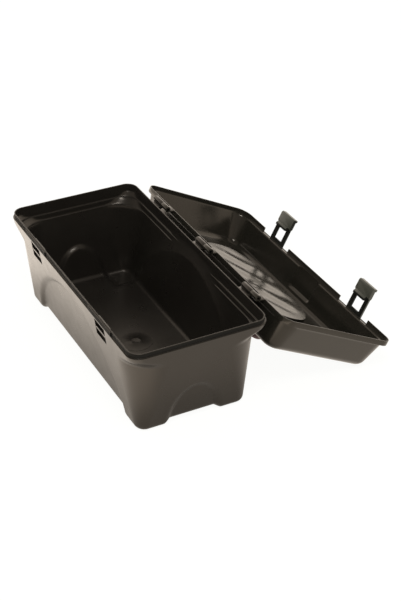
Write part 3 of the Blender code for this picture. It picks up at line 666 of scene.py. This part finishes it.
def build_tub(material, shade_plastic):
    outer = outer_tub()
    inner = inner_tub()
    under = tub_floor(outer[0], 0, 0)[::-1]
    floor = tub_floor(inner[-1], WALL, WALL)
    rings = np.concatenate([under, outer, tub_rim(), inner, floor])
    mesh = mesh_from_rings("tub", rings)
    mesh.materials.append(material)
    paint_lip_shade(mesh, shade_plastic)
    item = finish_mesh("tub", mesh, TO_ROW, None, "case")
    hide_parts("case_body")
    return item


def build_gate_mark(material):
    """The ring and the faint disc that the mould's gate leaves in the middle of the floor."""
    turn = np.linspace(0, math.tau, GATE_STEPS + 1)[:-1]
    rows = []
    for radius, rise in (
        (GATE_DISC_RADIUS, -GATE_DISC_RISE),
        (GATE_DISC_RADIUS - GATE_DISC_RISE, GATE_DISC_RISE),
        (GATE_RING_RADIUS + GATE_RING_RISE, GATE_DISC_RISE),
        (GATE_RING_RADIUS, GATE_RING_RISE),
        (GATE_RING_RADIUS - GATE_RING_RISE, GATE_RING_RISE),
        (GATE_RING_RADIUS - 3 * GATE_RING_RISE, GATE_DISC_RISE),
        (GATE_RING_RISE, GATE_DISC_RISE),
    ):
        height = np.full(len(turn), WALL + FOOT_HEIGHT + rise)
        rows.append(np.stack([radius * np.cos(turn), radius * np.sin(turn), height], axis=-1))
    mesh = mesh_from_rings("gate_mark", rows)
    place = TO_ROW @ Matrix.Translation((GATE_X, GATE_Y, 0))
    return finish_mesh("gate_mark", mesh, place, material, "case")


# Lid


def lid_ring(z, end, front, back, corner):
    half_y = (CASE_WIDTH - front - back) / 2
    return ring(CASE_LENGTH / 2 - end, half_y, corner, z, (front - back) / 2)


def lid_wall_insets(z, extra=0.0):
    rise = z - SHOULDER_Z
    return (
        LID_END_SHOULDER + LID_END_TAPER * rise + extra,
        LID_FRONT_SHOULDER + LID_FRONT_TAPER * rise + extra,
        LID_BACK_SHOULDER + LID_BACK_TAPER * rise + extra,
    )


def lid_corner(z):
    share = (z - SHOULDER_Z) / (LID_TOP - SHOULDER_Z)
    return LID_CORNER + (LID_CORNER_TOP - LID_CORNER) * share


def lid_crown(top, radius, inset):
    """The rounded edge between the lid's walls and its top."""
    rows = []
    for step in range(FILLET_STEPS + 1):
        turn = math.pi / 2 * step / FILLET_STEPS
        z = top - radius * (1 - math.sin(turn))
        extra = inset + radius * (1 - math.cos(turn))
        rows.append(lid_ring(z, *lid_wall_insets(z, extra), lid_corner(z) - extra))
    return rows


def hollow_ring(outline, half_x, half_y, z):
    """The hollow's outline, with a point for each column of an outline round it."""
    reach_x = np.abs(outline[:, 0]).max()
    reach_y = np.abs(outline[:, 1]).max()
    x = outline[:, 0] / reach_x
    y = outline[:, 1] / reach_y
    size = (np.abs(x) ** HOLLOW_FULLNESS + np.abs(y) ** HOLLOW_FULLNESS) ** (1 / HOLLOW_FULLNESS)
    return np.stack([half_x * x / size, half_y * y / size, np.full(len(x), z)], axis=-1)


def hollow_rings(outline, top, grow, steps=12):
    """The handle's hollow from its edge down its side to its floor."""
    rows = []
    for step in range(steps + 1):
        turn = math.pi / 2 * step / steps
        run = HOLLOW_SIDE_RUN * math.sin(turn)
        z = top - HANDLE_HOLLOW_DEPTH * (1 - math.cos(turn))
        rows.append(
            hollow_ring(outline, RECESS_HALF_LENGTH + grow - run, RECESS_HALF_WIDTH + grow - run, z)
        )
    floor = rows[-1]
    return rows + shrunk(floor, FLOOR_RINGS)


def warped(rings):
    """Lets the bump's flat middle sag in slow waves, as thin mouldings do."""
    points = np.array(rings)
    x, y, z = points[..., 0], points[..., 1], points[..., 2]
    share = np.linspace(0, 1, FLOOR_RINGS)[:, None]
    middle = smooth(share / WARP_FADE_SHARE)
    sway = WARP_SWAY * np.sin(math.tau * y / WARP_WIDTH)
    wave = np.sin(math.tau * (x / WARP_LENGTH + sway))
    z[-FLOOR_RINGS:] += WARP_DEPTH * middle * wave[-FLOOR_RINGS:]
    return list(points)


def raise_front_panel(points, wall):
    """Steps the middle of the lid's front wall outwards."""
    x, y, z = points[..., 0], points[..., 1], points[..., 2]
    half = FRONT_PANEL_HALF_WIDTH - wall
    share = np.clip((half + FRONT_PANEL_SLOPE_RUN - np.abs(x)) / FRONT_PANEL_SLOPE_RUN, 0, 1)
    top = SHOULDER_Z + FRONT_PANEL_TOP - wall
    share = share * np.clip((top - z) / FRONT_PANEL_SLOPE_RUN, 0, 1)
    lean = FRONT_Y + LID_FRONT_SHOULDER + LID_FRONT_TAPER * (z - SHOULDER_Z)
    moved = lean + wall - FRONT_PANEL_STEP * share
    front = (y < -BACK_Y / 2) & (share > 0) & (z > CHANNEL_ROOF - STEP_RUN)
    y[front] = np.minimum(y[front], moved[front])


def lid_rows(heights, inset):
    return [lid_ring(z, *lid_wall_insets(z, inset), lid_corner(z) - inset) for z in heights]


def build_lid(material):
    """The lid as one shell: its outside, the skirt's channel and its inside."""
    edge = SOFT_EDGE
    crown = lid_crown(LID_TOP, LID_FILLET, 0)
    outer = lid_rows(np.arange(SHOULDER_Z + edge, LID_TOP - LID_FILLET, ROW_PITCH), 0) + crown
    outer = np.array(outer)
    raise_front_panel(outer, 0)
    rim = hollow_rings(crown[-1], LID_TOP, 0)
    outside = list(outer) + toward(crown[-1], rim[0], ROOF_SHARES) + rim

    skirt = SKIRT_THICKNESS
    places = [(skirt, CHANNEL_ROOF), (skirt, (CHANNEL_ROOF + LID_RIM) / 2)]
    places += soft_corner(skirt - edge / 2, LID_RIM + edge / 2, edge / 2, 180, 270)
    places += soft_corner(edge / 2, LID_RIM + edge / 2, edge / 2, 270, 360)
    places += [(0, (CHANNEL_ROOF + LID_RIM) / 2)]
    places += soft_corner(edge, SHOULDER_Z - edge, edge, 0, 90)
    skirts = np.array([lid_ring(z, inset, inset, inset, RIM_CORNER - inset) for inset, z in places])
    x, y, z = skirts[..., 0], skirts[..., 1], skirts[..., 2]
    notch = (y < -BACK_Y / 2) & near_station(x, NOTCH_WIDTH / 2)
    z[notch] = np.maximum(z[notch], CHANNEL_ROOF - STATION_DROP)

    crown = lid_crown(LID_TOP - WALL, LID_FILLET - WALL, WALL)
    low = LID_TOP - LID_FILLET
    inner = lid_rows(np.arange(CHANNEL_ROOF + edge, low, ROW_PITCH), WALL) + crown
    inner.insert(0, lid_ring(CHANNEL_ROOF, *lid_wall_insets(SHOULDER_Z, WALL - edge), LID_CORNER - WALL))
    inner = np.array(inner)
    raise_front_panel(inner, WALL)
    bump = warped(hollow_rings(crown[-1], LID_TOP - WALL, WALL))
    inside = list(inner) + toward(crown[-1], bump[0], ROOF_SHARES) + bump

    rings = np.concatenate([np.array(inside[::-1]), skirts, np.array(outside)])
    mesh = mesh_from_rings("lid", rings)
    item = finish_mesh("lid", mesh, TO_OPEN, material, "lid")
    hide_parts("lid_shell")
    return item


# Small moulded pieces


def arc(centre_y, centre_z, radius, start, end, steps):
    angles = [math.radians(start + (end - start) * step / steps) for step in range(steps + 1)]
    return [(centre_y + radius * math.cos(a), centre_z + radius * math.sin(a)) for a in angles]


def add_prism(bm, outline, x_low, x_high, bevel=0.0):
    """An outline in Y and Z, extruded along X, with its end edges softened."""
    face = bm.faces.new([bm.verts.new((x_low, y, z)) for y, z in outline])
    grown = bmesh.ops.extrude_face_region(bm, geom=[face])
    moved = [item for item in grown["geom"] if isinstance(item, bmesh.types.BMVert)]
    bmesh.ops.translate(bm, verts=moved, vec=(x_high - x_low, 0, 0))
    if bevel:
        far = [item for item in grown["geom"] if isinstance(item, bmesh.types.BMFace)]
        edges = {edge for cap in [face] + far for edge in cap.edges}
        bmesh.ops.bevel(bm, geom=list(edges), offset=bevel, segments=3, profile=0.5, affect="EDGES")


def add_bar(bm, radius, x_low, x_high, y, z, sides=32):
    place = Matrix.Translation(((x_low + x_high) / 2, y, z)) @ Matrix.Rotation(math.pi / 2, 4, "Y")
    bmesh.ops.create_cone(
        bm, cap_ends=True, segments=sides, radius1=radius, radius2=radius, depth=x_high - x_low, matrix=place
    )


def small_piece(name, bm, place, material, body):
    bmesh.ops.recalc_face_normals(bm, faces=bm.faces)
    mesh = bpy.data.meshes.new(name)
    bm.to_mesh(mesh)
    bm.free()
    return finish_mesh(name, mesh, place, material, body)


def lug_span(centre):
    start = centre - HINGE_LENGTH / 2
    return start, start + HINGE_LUG_LENGTH


def build_hinge_lugs(material):
    bm = bmesh.new()
    top = FLANGE_TOP - LUG_TOP_GAP
    for centre in HINGES:
        outline = arc(HINGE_Y, HINGE_Z, KNUCKLE_RADIUS, *LUG_TURN, 24)
        outline.append((BACK_Y - LUG_ROOT, top))
        outline.append((BACK_Y - LUG_ROOT, top - LUG_DROP))
        add_prism(bm, outline, *lug_span(centre), bevel=SOFT_EDGE / 2)
    return small_piece("hinge_lugs", bm, TO_ROW, material, "case")


def build_hinge_clips(material):
    bm = bmesh.new()
    for centre in HINGES:
        outline = arc(HINGE_Y, HINGE_Z, KNUCKLE_RADIUS, *CLIP_TURN, 30)
        outline.append((BACK_Y - SKIRT_THICKNESS / 2, LID_RIM))
        outline.append((BACK_Y - SKIRT_THICKNESS / 2, LID_RIM + ARM_THICKNESS))
        low = lug_span(centre)[1] + HINGE_END_GAP
        add_prism(bm, outline, low, centre + HINGE_LENGTH / 2, bevel=SOFT_EDGE / 2)
    return small_piece("hinge_clips", bm, TO_OPEN, material, "lid")


def build_latch_ears(material):
    bm = bmesh.new()
    wall_low = FRONT_Y + LID_FRONT_SHOULDER + WALL / 2
    wall_high = wall_low + LID_FRONT_TAPER * (LATCH_Z + EAR_RADIUS - SHOULDER_Z)
    outline = arc(LATCH_Y, LATCH_Z, EAR_RADIUS, 90, 270, 16)
    outline.append((FRONT_Y, SHOULDER_Z - SKIRT_ROOF / 2))
    outline.append((wall_low, SHOULDER_Z - SKIRT_ROOF / 2))
    outline.append((wall_high, LATCH_Z + EAR_RADIUS))
    inner = LATCH_WIDTH / 2 + EAR_GAP
    for centre in STATIONS:
        for side in (-1, 1):
            low, high = sorted((centre + side * inner, centre + side * (inner + EAR_THICKNESS)))
            add_prism(bm, outline, low, high, bevel=SOFT_EDGE / 2)
        half = inner + EAR_THICKNESS / 2
        add_bar(bm, AXLE_RADIUS, centre - half, centre + half, LATCH_Y, LATCH_Z)
    return small_piece("latch_ears", bm, TO_OPEN, material, "lid")


def build_handle_bosses(material):
    bm = bmesh.new()
    floor = LID_TOP - HANDLE_HOLLOW_DEPTH - WALL / 2
    outline = arc(HANDLE_PIVOT_Y, HANDLE_Z, BOSS_RADIUS, 0, 180, 20)
    outline.append((HANDLE_PIVOT_Y - BOSS_RADIUS, floor))
    outline.append((HANDLE_PIVOT_Y + BOSS_RADIUS, floor))
    for side in (-1, 1):
        start = HANDLE_HALF_WIDTH + ARM_RADIUS + BOSS_SHIFT
        add_prism(bm, outline, *sorted((side * start, side * (start + BOSS_LENGTH))), bevel=SOFT_EDGE / 2)
    return small_piece("handle_bosses", bm, TO_OPEN, material, "lid")


# Handle


def handle_stations():
    """Centres and radii along the handle, from one stub to the other."""
    half = [(HANDLE_HALF_WIDTH + ARM_RADIUS + STUB_LENGTH, 0, STUB_RADIUS)]
    half.append((HANDLE_HALF_WIDTH + STUB_BEND, 0, STUB_RADIUS))
    for share in np.linspace(0, 1, 9)[1:]:
        turn = math.pi / 2 * share
        radius = STUB_RADIUS + (ARM_RADIUS - STUB_RADIUS) * share
        half.append(
            (HANDLE_HALF_WIDTH + STUB_BEND * (1 - math.sin(turn)), STUB_BEND * (1 - math.cos(turn)), radius)
        )
    straight = HANDLE_REACH - HANDLE_CORNER
    inner = HANDLE_HALF_WIDTH - HANDLE_CORNER
    for share in np.linspace(0, 1, 21):
        turn = math.pi / 2 * share
        radius = ARM_RADIUS + (GRIP_RADIUS - ARM_RADIUS) * share * share
        reach = straight + HANDLE_CORNER * math.sin(turn)
        half.append((inner + HANDLE_CORNER * math.cos(turn), reach, radius))
    for share in np.linspace(0, 1, 9)[1:]:
        half.append((inner * (1 - share), HANDLE_REACH, GRIP_RADIUS))
    return half + [(-x, reach, radius) for x, reach, radius in half[-2::-1]]


def build_handle(material):
    curve = bpy.data.curves.new("handle_line", "CURVE")
    curve.dimensions = "3D"
    curve.bevel_depth = 1
    curve.bevel_resolution = 10
    curve.use_fill_caps = True
    spline = curve.splines.new("POLY")
    stations = handle_stations()
    spline.points.add(len(stations) - 1)
    for point, (x, reach, radius) in zip(spline.points, stations):
        point.co = (x, 0, -reach, 1)
        point.radius = radius
    guide = bpy.data.objects.new("handle_guide", curve)
    bpy.context.scene.collection.objects.link(guide)
    bpy.context.view_layer.update()
    graph = bpy.context.evaluated_depsgraph_get()
    mesh = bpy.data.meshes.new_from_object(guide.evaluated_get(graph))
    bpy.data.objects.remove(guide)
    bm = bmesh.new()
    bm.from_mesh(mesh)
    bmesh.ops.remove_doubles(bm, verts=bm.verts, dist=SOFT_EDGE / 20)
    bmesh.ops.recalc_face_normals(bm, faces=bm.faces)
    bm.to_mesh(mesh)
    bm.free()
    place = Matrix.Translation(JOINTS["handle_swing"]["pos_m"])
    mesh.materials.clear()
    item = finish_mesh("grip_handle", mesh, place, material, "handle")
    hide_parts("carry_handle")
    return item


# Latches


def latch_outline():
    """A latch seen from its end, from the axle down to the curled tip."""
    inner = FRONT_Y - LATCH_GAP
    outer = inner - LATCH_THICKNESS
    window = FLANGE_TOP - WINDOW_BOTTOM
    bottom = FLANGE_TOP - CROSSBAR_BOTTOM
    tip = bottom + TIP_THICKNESS
    end = outer - TIP_CURL + SOFT_EDGE / 2
    return [
        (inner, LATCH_Z),
        (inner, window),
        (inner + CROSSBAR_INWARD, window - CROSSBAR_INWARD),
        (inner + CROSSBAR_INWARD, bottom + CROSSBAR_INWARD),
        (inner, bottom),
        (end, bottom + SOFT_EDGE / 4),
        (end, tip),
        (outer - CROSSBAR_OUTWARD, tip + CROSSBAR_OUTWARD),
        (outer - CROSSBAR_OUTWARD, window - CROSSBAR_OUTWARD),
        (outer, window),
        (outer, LATCH_Z),
    ]


def cutter(name, bm):
    bmesh.ops.recalc_face_normals(bm, faces=bm.faces)
    mesh = bpy.data.meshes.new(name)
    bm.to_mesh(mesh)
    bm.free()
    item = bpy.data.objects.new(name, mesh)
    bpy.context.scene.collection.objects.link(item)
    return item


def combined(item, others):
    """The item after its Booleans, as a plain mesh; the other shapes are removed."""
    for other, operation in others:
        modifier = item.modifiers.new(other.name, "BOOLEAN")
        modifier.operation = operation
        modifier.object = other
    bevel = item.modifiers.new("soft_edges", "BEVEL")
    bevel.width = LATCH_EDGE
    bevel.segments = 3
    bevel.limit_method = "ANGLE"
    bevel.angle_limit = math.radians(LATCH_EDGE_ANGLE)
    bpy.context.view_layer.update()
    graph = bpy.context.evaluated_depsgraph_get()
    mesh = bpy.data.meshes.new_from_object(item.evaluated_get(graph))
    for shape in [item] + [other for other, _ in others]:
        bpy.data.objects.remove(shape)
    return mesh


def build_latch(name, node, body, centre, material, arm_material):
    """A latch; its arms beside and above the window are near black, its hook band is greyer as a painted
    highlight on its lit faces.
    """
    half = LATCH_WIDTH / 2
    bm = bmesh.new()
    add_prism(bm, latch_outline(), centre - half, centre + half)
    plate = cutter(name + "_plate", bm)
    bm = bmesh.new()
    add_bar(bm, LATCH_BARREL_RADIUS, centre - half, centre + half, LATCH_Y, LATCH_Z)
    barrel = cutter(name + "_barrel", bm)
    bm = bmesh.new()
    inner = FRONT_Y - LATCH_GAP - LATCH_THICKNESS / 2
    low = FLANGE_TOP - TONGUE_BOTTOM
    high = FLANGE_TOP - TONGUE_TOP
    nose = FRONT_Y + TONGUE_DEPTH - LATCH_GAP
    tongue = [
        (inner, low),
        (FRONT_Y + (TONGUE_DEPTH - LATCH_GAP) / 2, low),
        (nose, (low + high) / 2),
        (nose, high),
        (inner, high),
    ]
    add_prism(bm, tongue, centre - TONGUE_WIDTH / 2, centre + TONGUE_WIDTH / 2)
    hook = cutter(name + "_tongue", bm)
    bm = bmesh.new()
    window = [
        (LATCH_Y - WINDOW_REACH, FLANGE_TOP - WINDOW_BOTTOM),
        (LATCH_Y + WINDOW_REACH, FLANGE_TOP - WINDOW_BOTTOM),
        (LATCH_Y + WINDOW_REACH, FLANGE_TOP + WINDOW_TOP),
        (LATCH_Y - WINDOW_REACH, FLANGE_TOP + WINDOW_TOP),
    ]
    add_prism(bm, window, centre - WINDOW_WIDTH / 2, centre + WINDOW_WIDTH / 2)
    opening = cutter(name + "_window", bm)
    mesh = combined(plate, [(barrel, "UNION"), (hook, "UNION"), (opening, "DIFFERENCE")])
    reach = inner - LATCH_THICKNESS / 2 - TIP_CURL
    for vertex in mesh.vertices:
        vertex.co.x = min(max(vertex.co.x, centre - half), centre + half)
        vertex.co.y = max(vertex.co.y, reach)
        vertex.co.z = max(vertex.co.z, FLANGE_TOP - CROSSBAR_BOTTOM)
    mesh.materials.clear()
    mesh.materials.append(material)
    mesh.materials.append(arm_material)
    # Faces below the window's bottom take the greyer painted highlight, the rest the near-black arm plastic
    for face in mesh.polygons:
        face.material_index = int(face.center.z > FLANGE_TOP - WINDOW_BOTTOM)
    item = finish_mesh(name, mesh, TO_OPEN, None, body)
    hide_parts(node)
    return item


# Materials


def new_material(name):
    material = bpy.data.materials.new(name)
    material.use_nodes = True
    nodes = material.node_tree.nodes
    return material, nodes, material.node_tree.links, nodes["Principled BSDF"]


def noise(nodes, links, scale, detail=3.0):
    coords = nodes.new("ShaderNodeTexCoord")
    texture = nodes.new("ShaderNodeTexNoise")
    texture.inputs["Scale"].default_value = scale
    texture.inputs["Detail"].default_value = detail
    links.new(coords.outputs["Object"], texture.inputs["Vector"])
    return texture.outputs["Fac"]


def ramp(nodes, links, factor, stops):
    node = nodes.new("ShaderNodeValToRGB")
    for index, (place, color) in enumerate(stops):
        element = node.color_ramp.elements[index] if index < 2 else node.color_ramp.elements.new(place)
        element.position = place
        element.color = (*color, 1)
    links.new(factor, node.inputs["Fac"])
    return node.outputs["Color"]


def spread(nodes, links, factor, low, high):
    """A noise carried to run between two levels."""
    node = nodes.new("ShaderNodeMapRange")
    node.inputs["From Min"].default_value = NOISE_LOW
    node.inputs["From Max"].default_value = NOISE_HIGH
    node.inputs["To Min"].default_value = low
    node.inputs["To Max"].default_value = high
    links.new(factor, node.inputs["Value"])
    return node.outputs["Result"]


def moulded(name):
    """Moulded plastic: slow colour drift, uneven sheen and a fine spark-eroded grain."""
    dark, light, rough_low, rough_high, grain_scale, grain_depth, tint, specular = PLASTICS[name]
    material, nodes, links, shader = new_material(name)
    drift = noise(nodes, links, DRIFT_SCALE)
    colors = ramp(nodes, links, drift, [(NOISE_LOW, dark), (NOISE_HIGH, light)])
    links.new(colors, shader.inputs["Base Color"])
    sheen = noise(nodes, links, SHEEN_SCALE, SHEEN_DETAIL)
    links.new(spread(nodes, links, sheen, rough_low, rough_high), shader.inputs["Roughness"])
    shader.inputs["Specular Tint"].default_value = (*tint, 1)
    shader.inputs["Specular IOR Level"].default_value = specular
    bump = nodes.new("ShaderNodeBump")
    bump.inputs["Strength"].default_value = 1.0
    bump.inputs["Distance"].default_value = grain_depth
    links.new(noise(nodes, links, grain_scale, GRAIN_DETAIL), bump.inputs["Height"])
    links.new(bump.outputs["Normal"], shader.inputs["Normal"])
    return material


def wire_steel():
    """Drawn steel wire with a slightly uneven sheen."""
    material, nodes, links, shader = new_material("pin_wire")
    shader.inputs["Metallic"].default_value = 1.0
    tone = noise(nodes, links, STEEL_SCALE)
    colors = ramp(nodes, links, tone, [(NOISE_LOW, STEEL_DARK), (NOISE_HIGH, STEEL_LIGHT)])
    links.new(colors, shader.inputs["Base Color"])
    links.new(spread(nodes, links, tone, *STEEL_ROUGHNESS), shader.inputs["Roughness"])
    return material


# Studio


def eased(nodes, links, value, low, high, at_low, at_high):
    """A number that runs smoothly between two levels as another passes between two places."""
    node = nodes.new("ShaderNodeMapRange")
    node.interpolation_type = "SMOOTHSTEP"
    node.inputs["From Min"].default_value = low
    node.inputs["From Max"].default_value = high
    node.inputs["To Min"].default_value = at_low
    node.inputs["To Max"].default_value = at_high
    links.new(value, node.inputs["Value"])
    return node.outputs["Result"]


def blend(nodes, links, share, low, high):
    """One number or the other, by a share from 0 to 1; each may be a plain number."""
    node = nodes.new("ShaderNodeMapRange")
    for name, value in (("To Min", low), ("To Max", high)):
        if isinstance(value, float):
            node.inputs[name].default_value = value
        else:
            links.new(value, node.inputs[name])
    links.new(share, node.inputs["Value"])
    return node.outputs["Result"]


def tinted(nodes, links, glossy):
    """White to the camera, and a warmer white in reflections."""
    node = nodes.new("ShaderNodeMix")
    node.data_type = "RGBA"
    node.inputs["A"].default_value = WHITE
    node.inputs["B"].default_value = WARM_WHITE
    links.new(glossy, node.inputs["Factor"])
    return node.outputs["Result"]


def product(nodes, links, first, *others):
    """Several numbers multiplied together."""
    for other in others:
        node = nodes.new("ShaderNodeMath")
        node.operation = "MULTIPLY"
        links.new(first, node.inputs[0])
        links.new(other, node.inputs[1])
        first = node.outputs[0]
    return first


def away_from_case(nodes, links, position):
    """How far a place on the floor lies outside the tub's outline."""
    for operation, value in (
        ("ADD", (0, CENTRE_Y, 0)),
        ("ABSOLUTE", None),
        ("SUBTRACT", (*case_halves(0.0), 0)),
        ("MAXIMUM", (0, 0, 0)),
        ("LENGTH", None),
    ):
        node = nodes.new("ShaderNodeVectorMath")
        node.operation = operation
        links.new(position, node.inputs[0])
        if value:
            node.inputs[1].default_value = value
        position = node.outputs["Value" if operation == "LENGTH" else "Vector"]
    return position


def build_floor():
    """A white floor that keeps some shadow; in reflections it glows with painted light, brighter towards -X
    and -Y, and painted shade close round the tub.
    """
    mesh = bpy.data.meshes.new("floor")
    corners = [(x * FLOOR_REACH, y * FLOOR_REACH, 0) for x, y in ((-1, -1), (1, -1), (1, 1), (-1, 1))]
    mesh.from_pydata(corners, [], [(0, 1, 2, 3)])
    floor = bpy.data.objects.new("floor", mesh)
    bpy.context.scene.collection.objects.link(floor)
    material, nodes, links, shader = new_material("pale_floor")
    shader.inputs["Base Color"].default_value = FLOOR_COLOR
    shader.inputs["Roughness"].default_value = FLOOR_ROUGHNESS
    glossy = nodes.new("ShaderNodeLightPath").outputs["Is Glossy Ray"]
    place = nodes.new("ShaderNodeNewGeometry")
    parts = nodes.new("ShaderNodeSeparateXYZ")
    links.new(place.outputs["Position"], parts.inputs["Vector"])
    away = away_from_case(nodes, links, place.outputs["Position"])
    # The glow seen in reflections: painted light by place, and painted shade near the tub
    mirrored = product(
        nodes,
        links,
        eased(nodes, links, parts.outputs["X"], *FLOOR_SIDES_X, *FLOOR_PAINTED_LIGHT_LEVELS),
        eased(nodes, links, parts.outputs["Y"], *FLOOR_BACK_Y, *FLOOR_PAINTED_LIGHT_BACK_SHARES),
        eased(nodes, links, away, *FLOOR_NEAR_REACH, *FLOOR_PAINTED_SHADE_SHARES),
    )
    glow = nodes.new("ShaderNodeEmission")
    links.new(tinted(nodes, links, glossy), glow.inputs["Color"])
    links.new(blend(nodes, links, glossy, FLOOR_GLOW, mirrored), glow.inputs["Strength"])
    mix = nodes.new("ShaderNodeMixShader")
    links.new(blend(nodes, links, glossy, FLOOR_GLOW_SHARE, 1.0), mix.inputs["Fac"])
    links.new(shader.outputs[0], mix.inputs[1])
    links.new(glow.outputs[0], mix.inputs[2])
    links.new(mix.outputs[0], nodes["Material Output"].inputs["Surface"])
    mesh.materials.append(material)


def build_world():
    """White behind the object; in reflections bright near the horizon and dark overhead."""
    world = bpy.data.worlds.new("studio")
    bpy.context.scene.world = world
    world.use_nodes = True
    nodes, links = world.node_tree.nodes, world.node_tree.links
    background = nodes["Background"]
    rays = nodes.new("ShaderNodeLightPath")
    links.new(tinted(nodes, links, rays.outputs["Is Glossy Ray"]), background.inputs["Color"])
    coords = nodes.new("ShaderNodeTexCoord")
    parts = nodes.new("ShaderNodeSeparateXYZ")
    links.new(coords.outputs["Generated"], parts.inputs["Vector"])
    side = nodes.new("ShaderNodeVectorMath")
    side.operation = "DOT_PRODUCT"
    side.inputs[1].default_value = SKY_BRIGHT_SIDE
    links.new(coords.outputs["Generated"], side.inputs[0])
    mirrored = product(
        nodes,
        links,
        eased(nodes, links, parts.outputs["Z"], *SKY_FADE, *SKY_LEVELS),
        eased(nodes, links, side.outputs["Value"], *SKY_SIDE_FADE, *SKY_SIDE_SHARES),
    )
    diffuse = blend(nodes, links, rays.outputs["Is Glossy Ray"], WORLD_LIGHT, mirrored)
    links.new(blend(nodes, links, rays.outputs["Is Camera Ray"], diffuse, 1.0), background.inputs["Strength"])


def area_light(name, place, aim, size, watts):
    lamp = bpy.data.lights.new(name, "AREA")
    lamp.shape = "DISK"
    lamp.size = size
    lamp.energy = watts
    item = bpy.data.objects.new(name, lamp)
    bpy.context.scene.collection.objects.link(item)
    item.location = place
    item.rotation_euler = (Vector(aim) - Vector(place)).to_track_quat("-Z", "Y").to_euler()


def build_camera():
    camera = bpy.data.cameras.new("photo_view")
    camera.sensor_fit = "HORIZONTAL"
    camera.sensor_width = SENSOR_WIDTH
    camera.lens = FOCAL_LENGTH_PIXELS / PHOTO_WIDTH_PIXELS * SENSOR_WIDTH
    camera.shift_x, camera.shift_y = CAMERA_SHIFT
    item = bpy.data.objects.new("photo_view", camera)
    bpy.context.scene.collection.objects.link(item)
    item.location = TO_ROW @ Vector(CAMERA_PLACE)
    yaw = Matrix.Rotation(math.radians(CAMERA_YAW), 4, "Z")
    pitch = Matrix.Rotation(math.radians(90 - CAMERA_PITCH), 4, "X")
    roll = Matrix.Rotation(math.radians(CAMERA_ROLL), 4, "Z")
    item.rotation_euler = (yaw @ pitch @ roll).to_euler()
    bpy.context.scene.camera = item


def main():
    plastic = {name: moulded(name) for name in PLASTICS}
    steel = wire_steel()

    build_tub(plastic["case_black"], plastic["lip_painted_shade"])
    build_gate_mark(plastic["case_black"])
    build_hinge_lugs(plastic["case_black"])
    build_lid(plastic["lid_black"])
    build_hinge_clips(plastic["lid_black"])
    build_latch_ears(plastic["lid_black"])
    build_handle_bosses(plastic["lid_black"])
    build_handle(plastic["handle_maroon"])
    for name, node, body, centre in (
        ("latch_far", "latch_left", "left_latch", STATIONS[0]),
        ("latch_near", "latch_right", "right_latch", STATIONS[1]),
    ):
        build_latch(name, node, body, centre, plastic["latch_black"], plastic["arm_black"])
    for name in ("hinge_pin_left", "hinge_pin_middle", "hinge_pin_right"):
        pin = frame["nodes"][name]
        pin.data.materials.clear()
        pin.data.materials.append(steel)

    bpy.context.scene.view_settings.view_transform = "Standard"
    build_floor()
    build_world()
    area_light("key", KEY_PLACE, KEY_AIM, KEY_SIZE, KEY_WATTS)
    build_camera()


main()

bpy.context.view_layer.update()
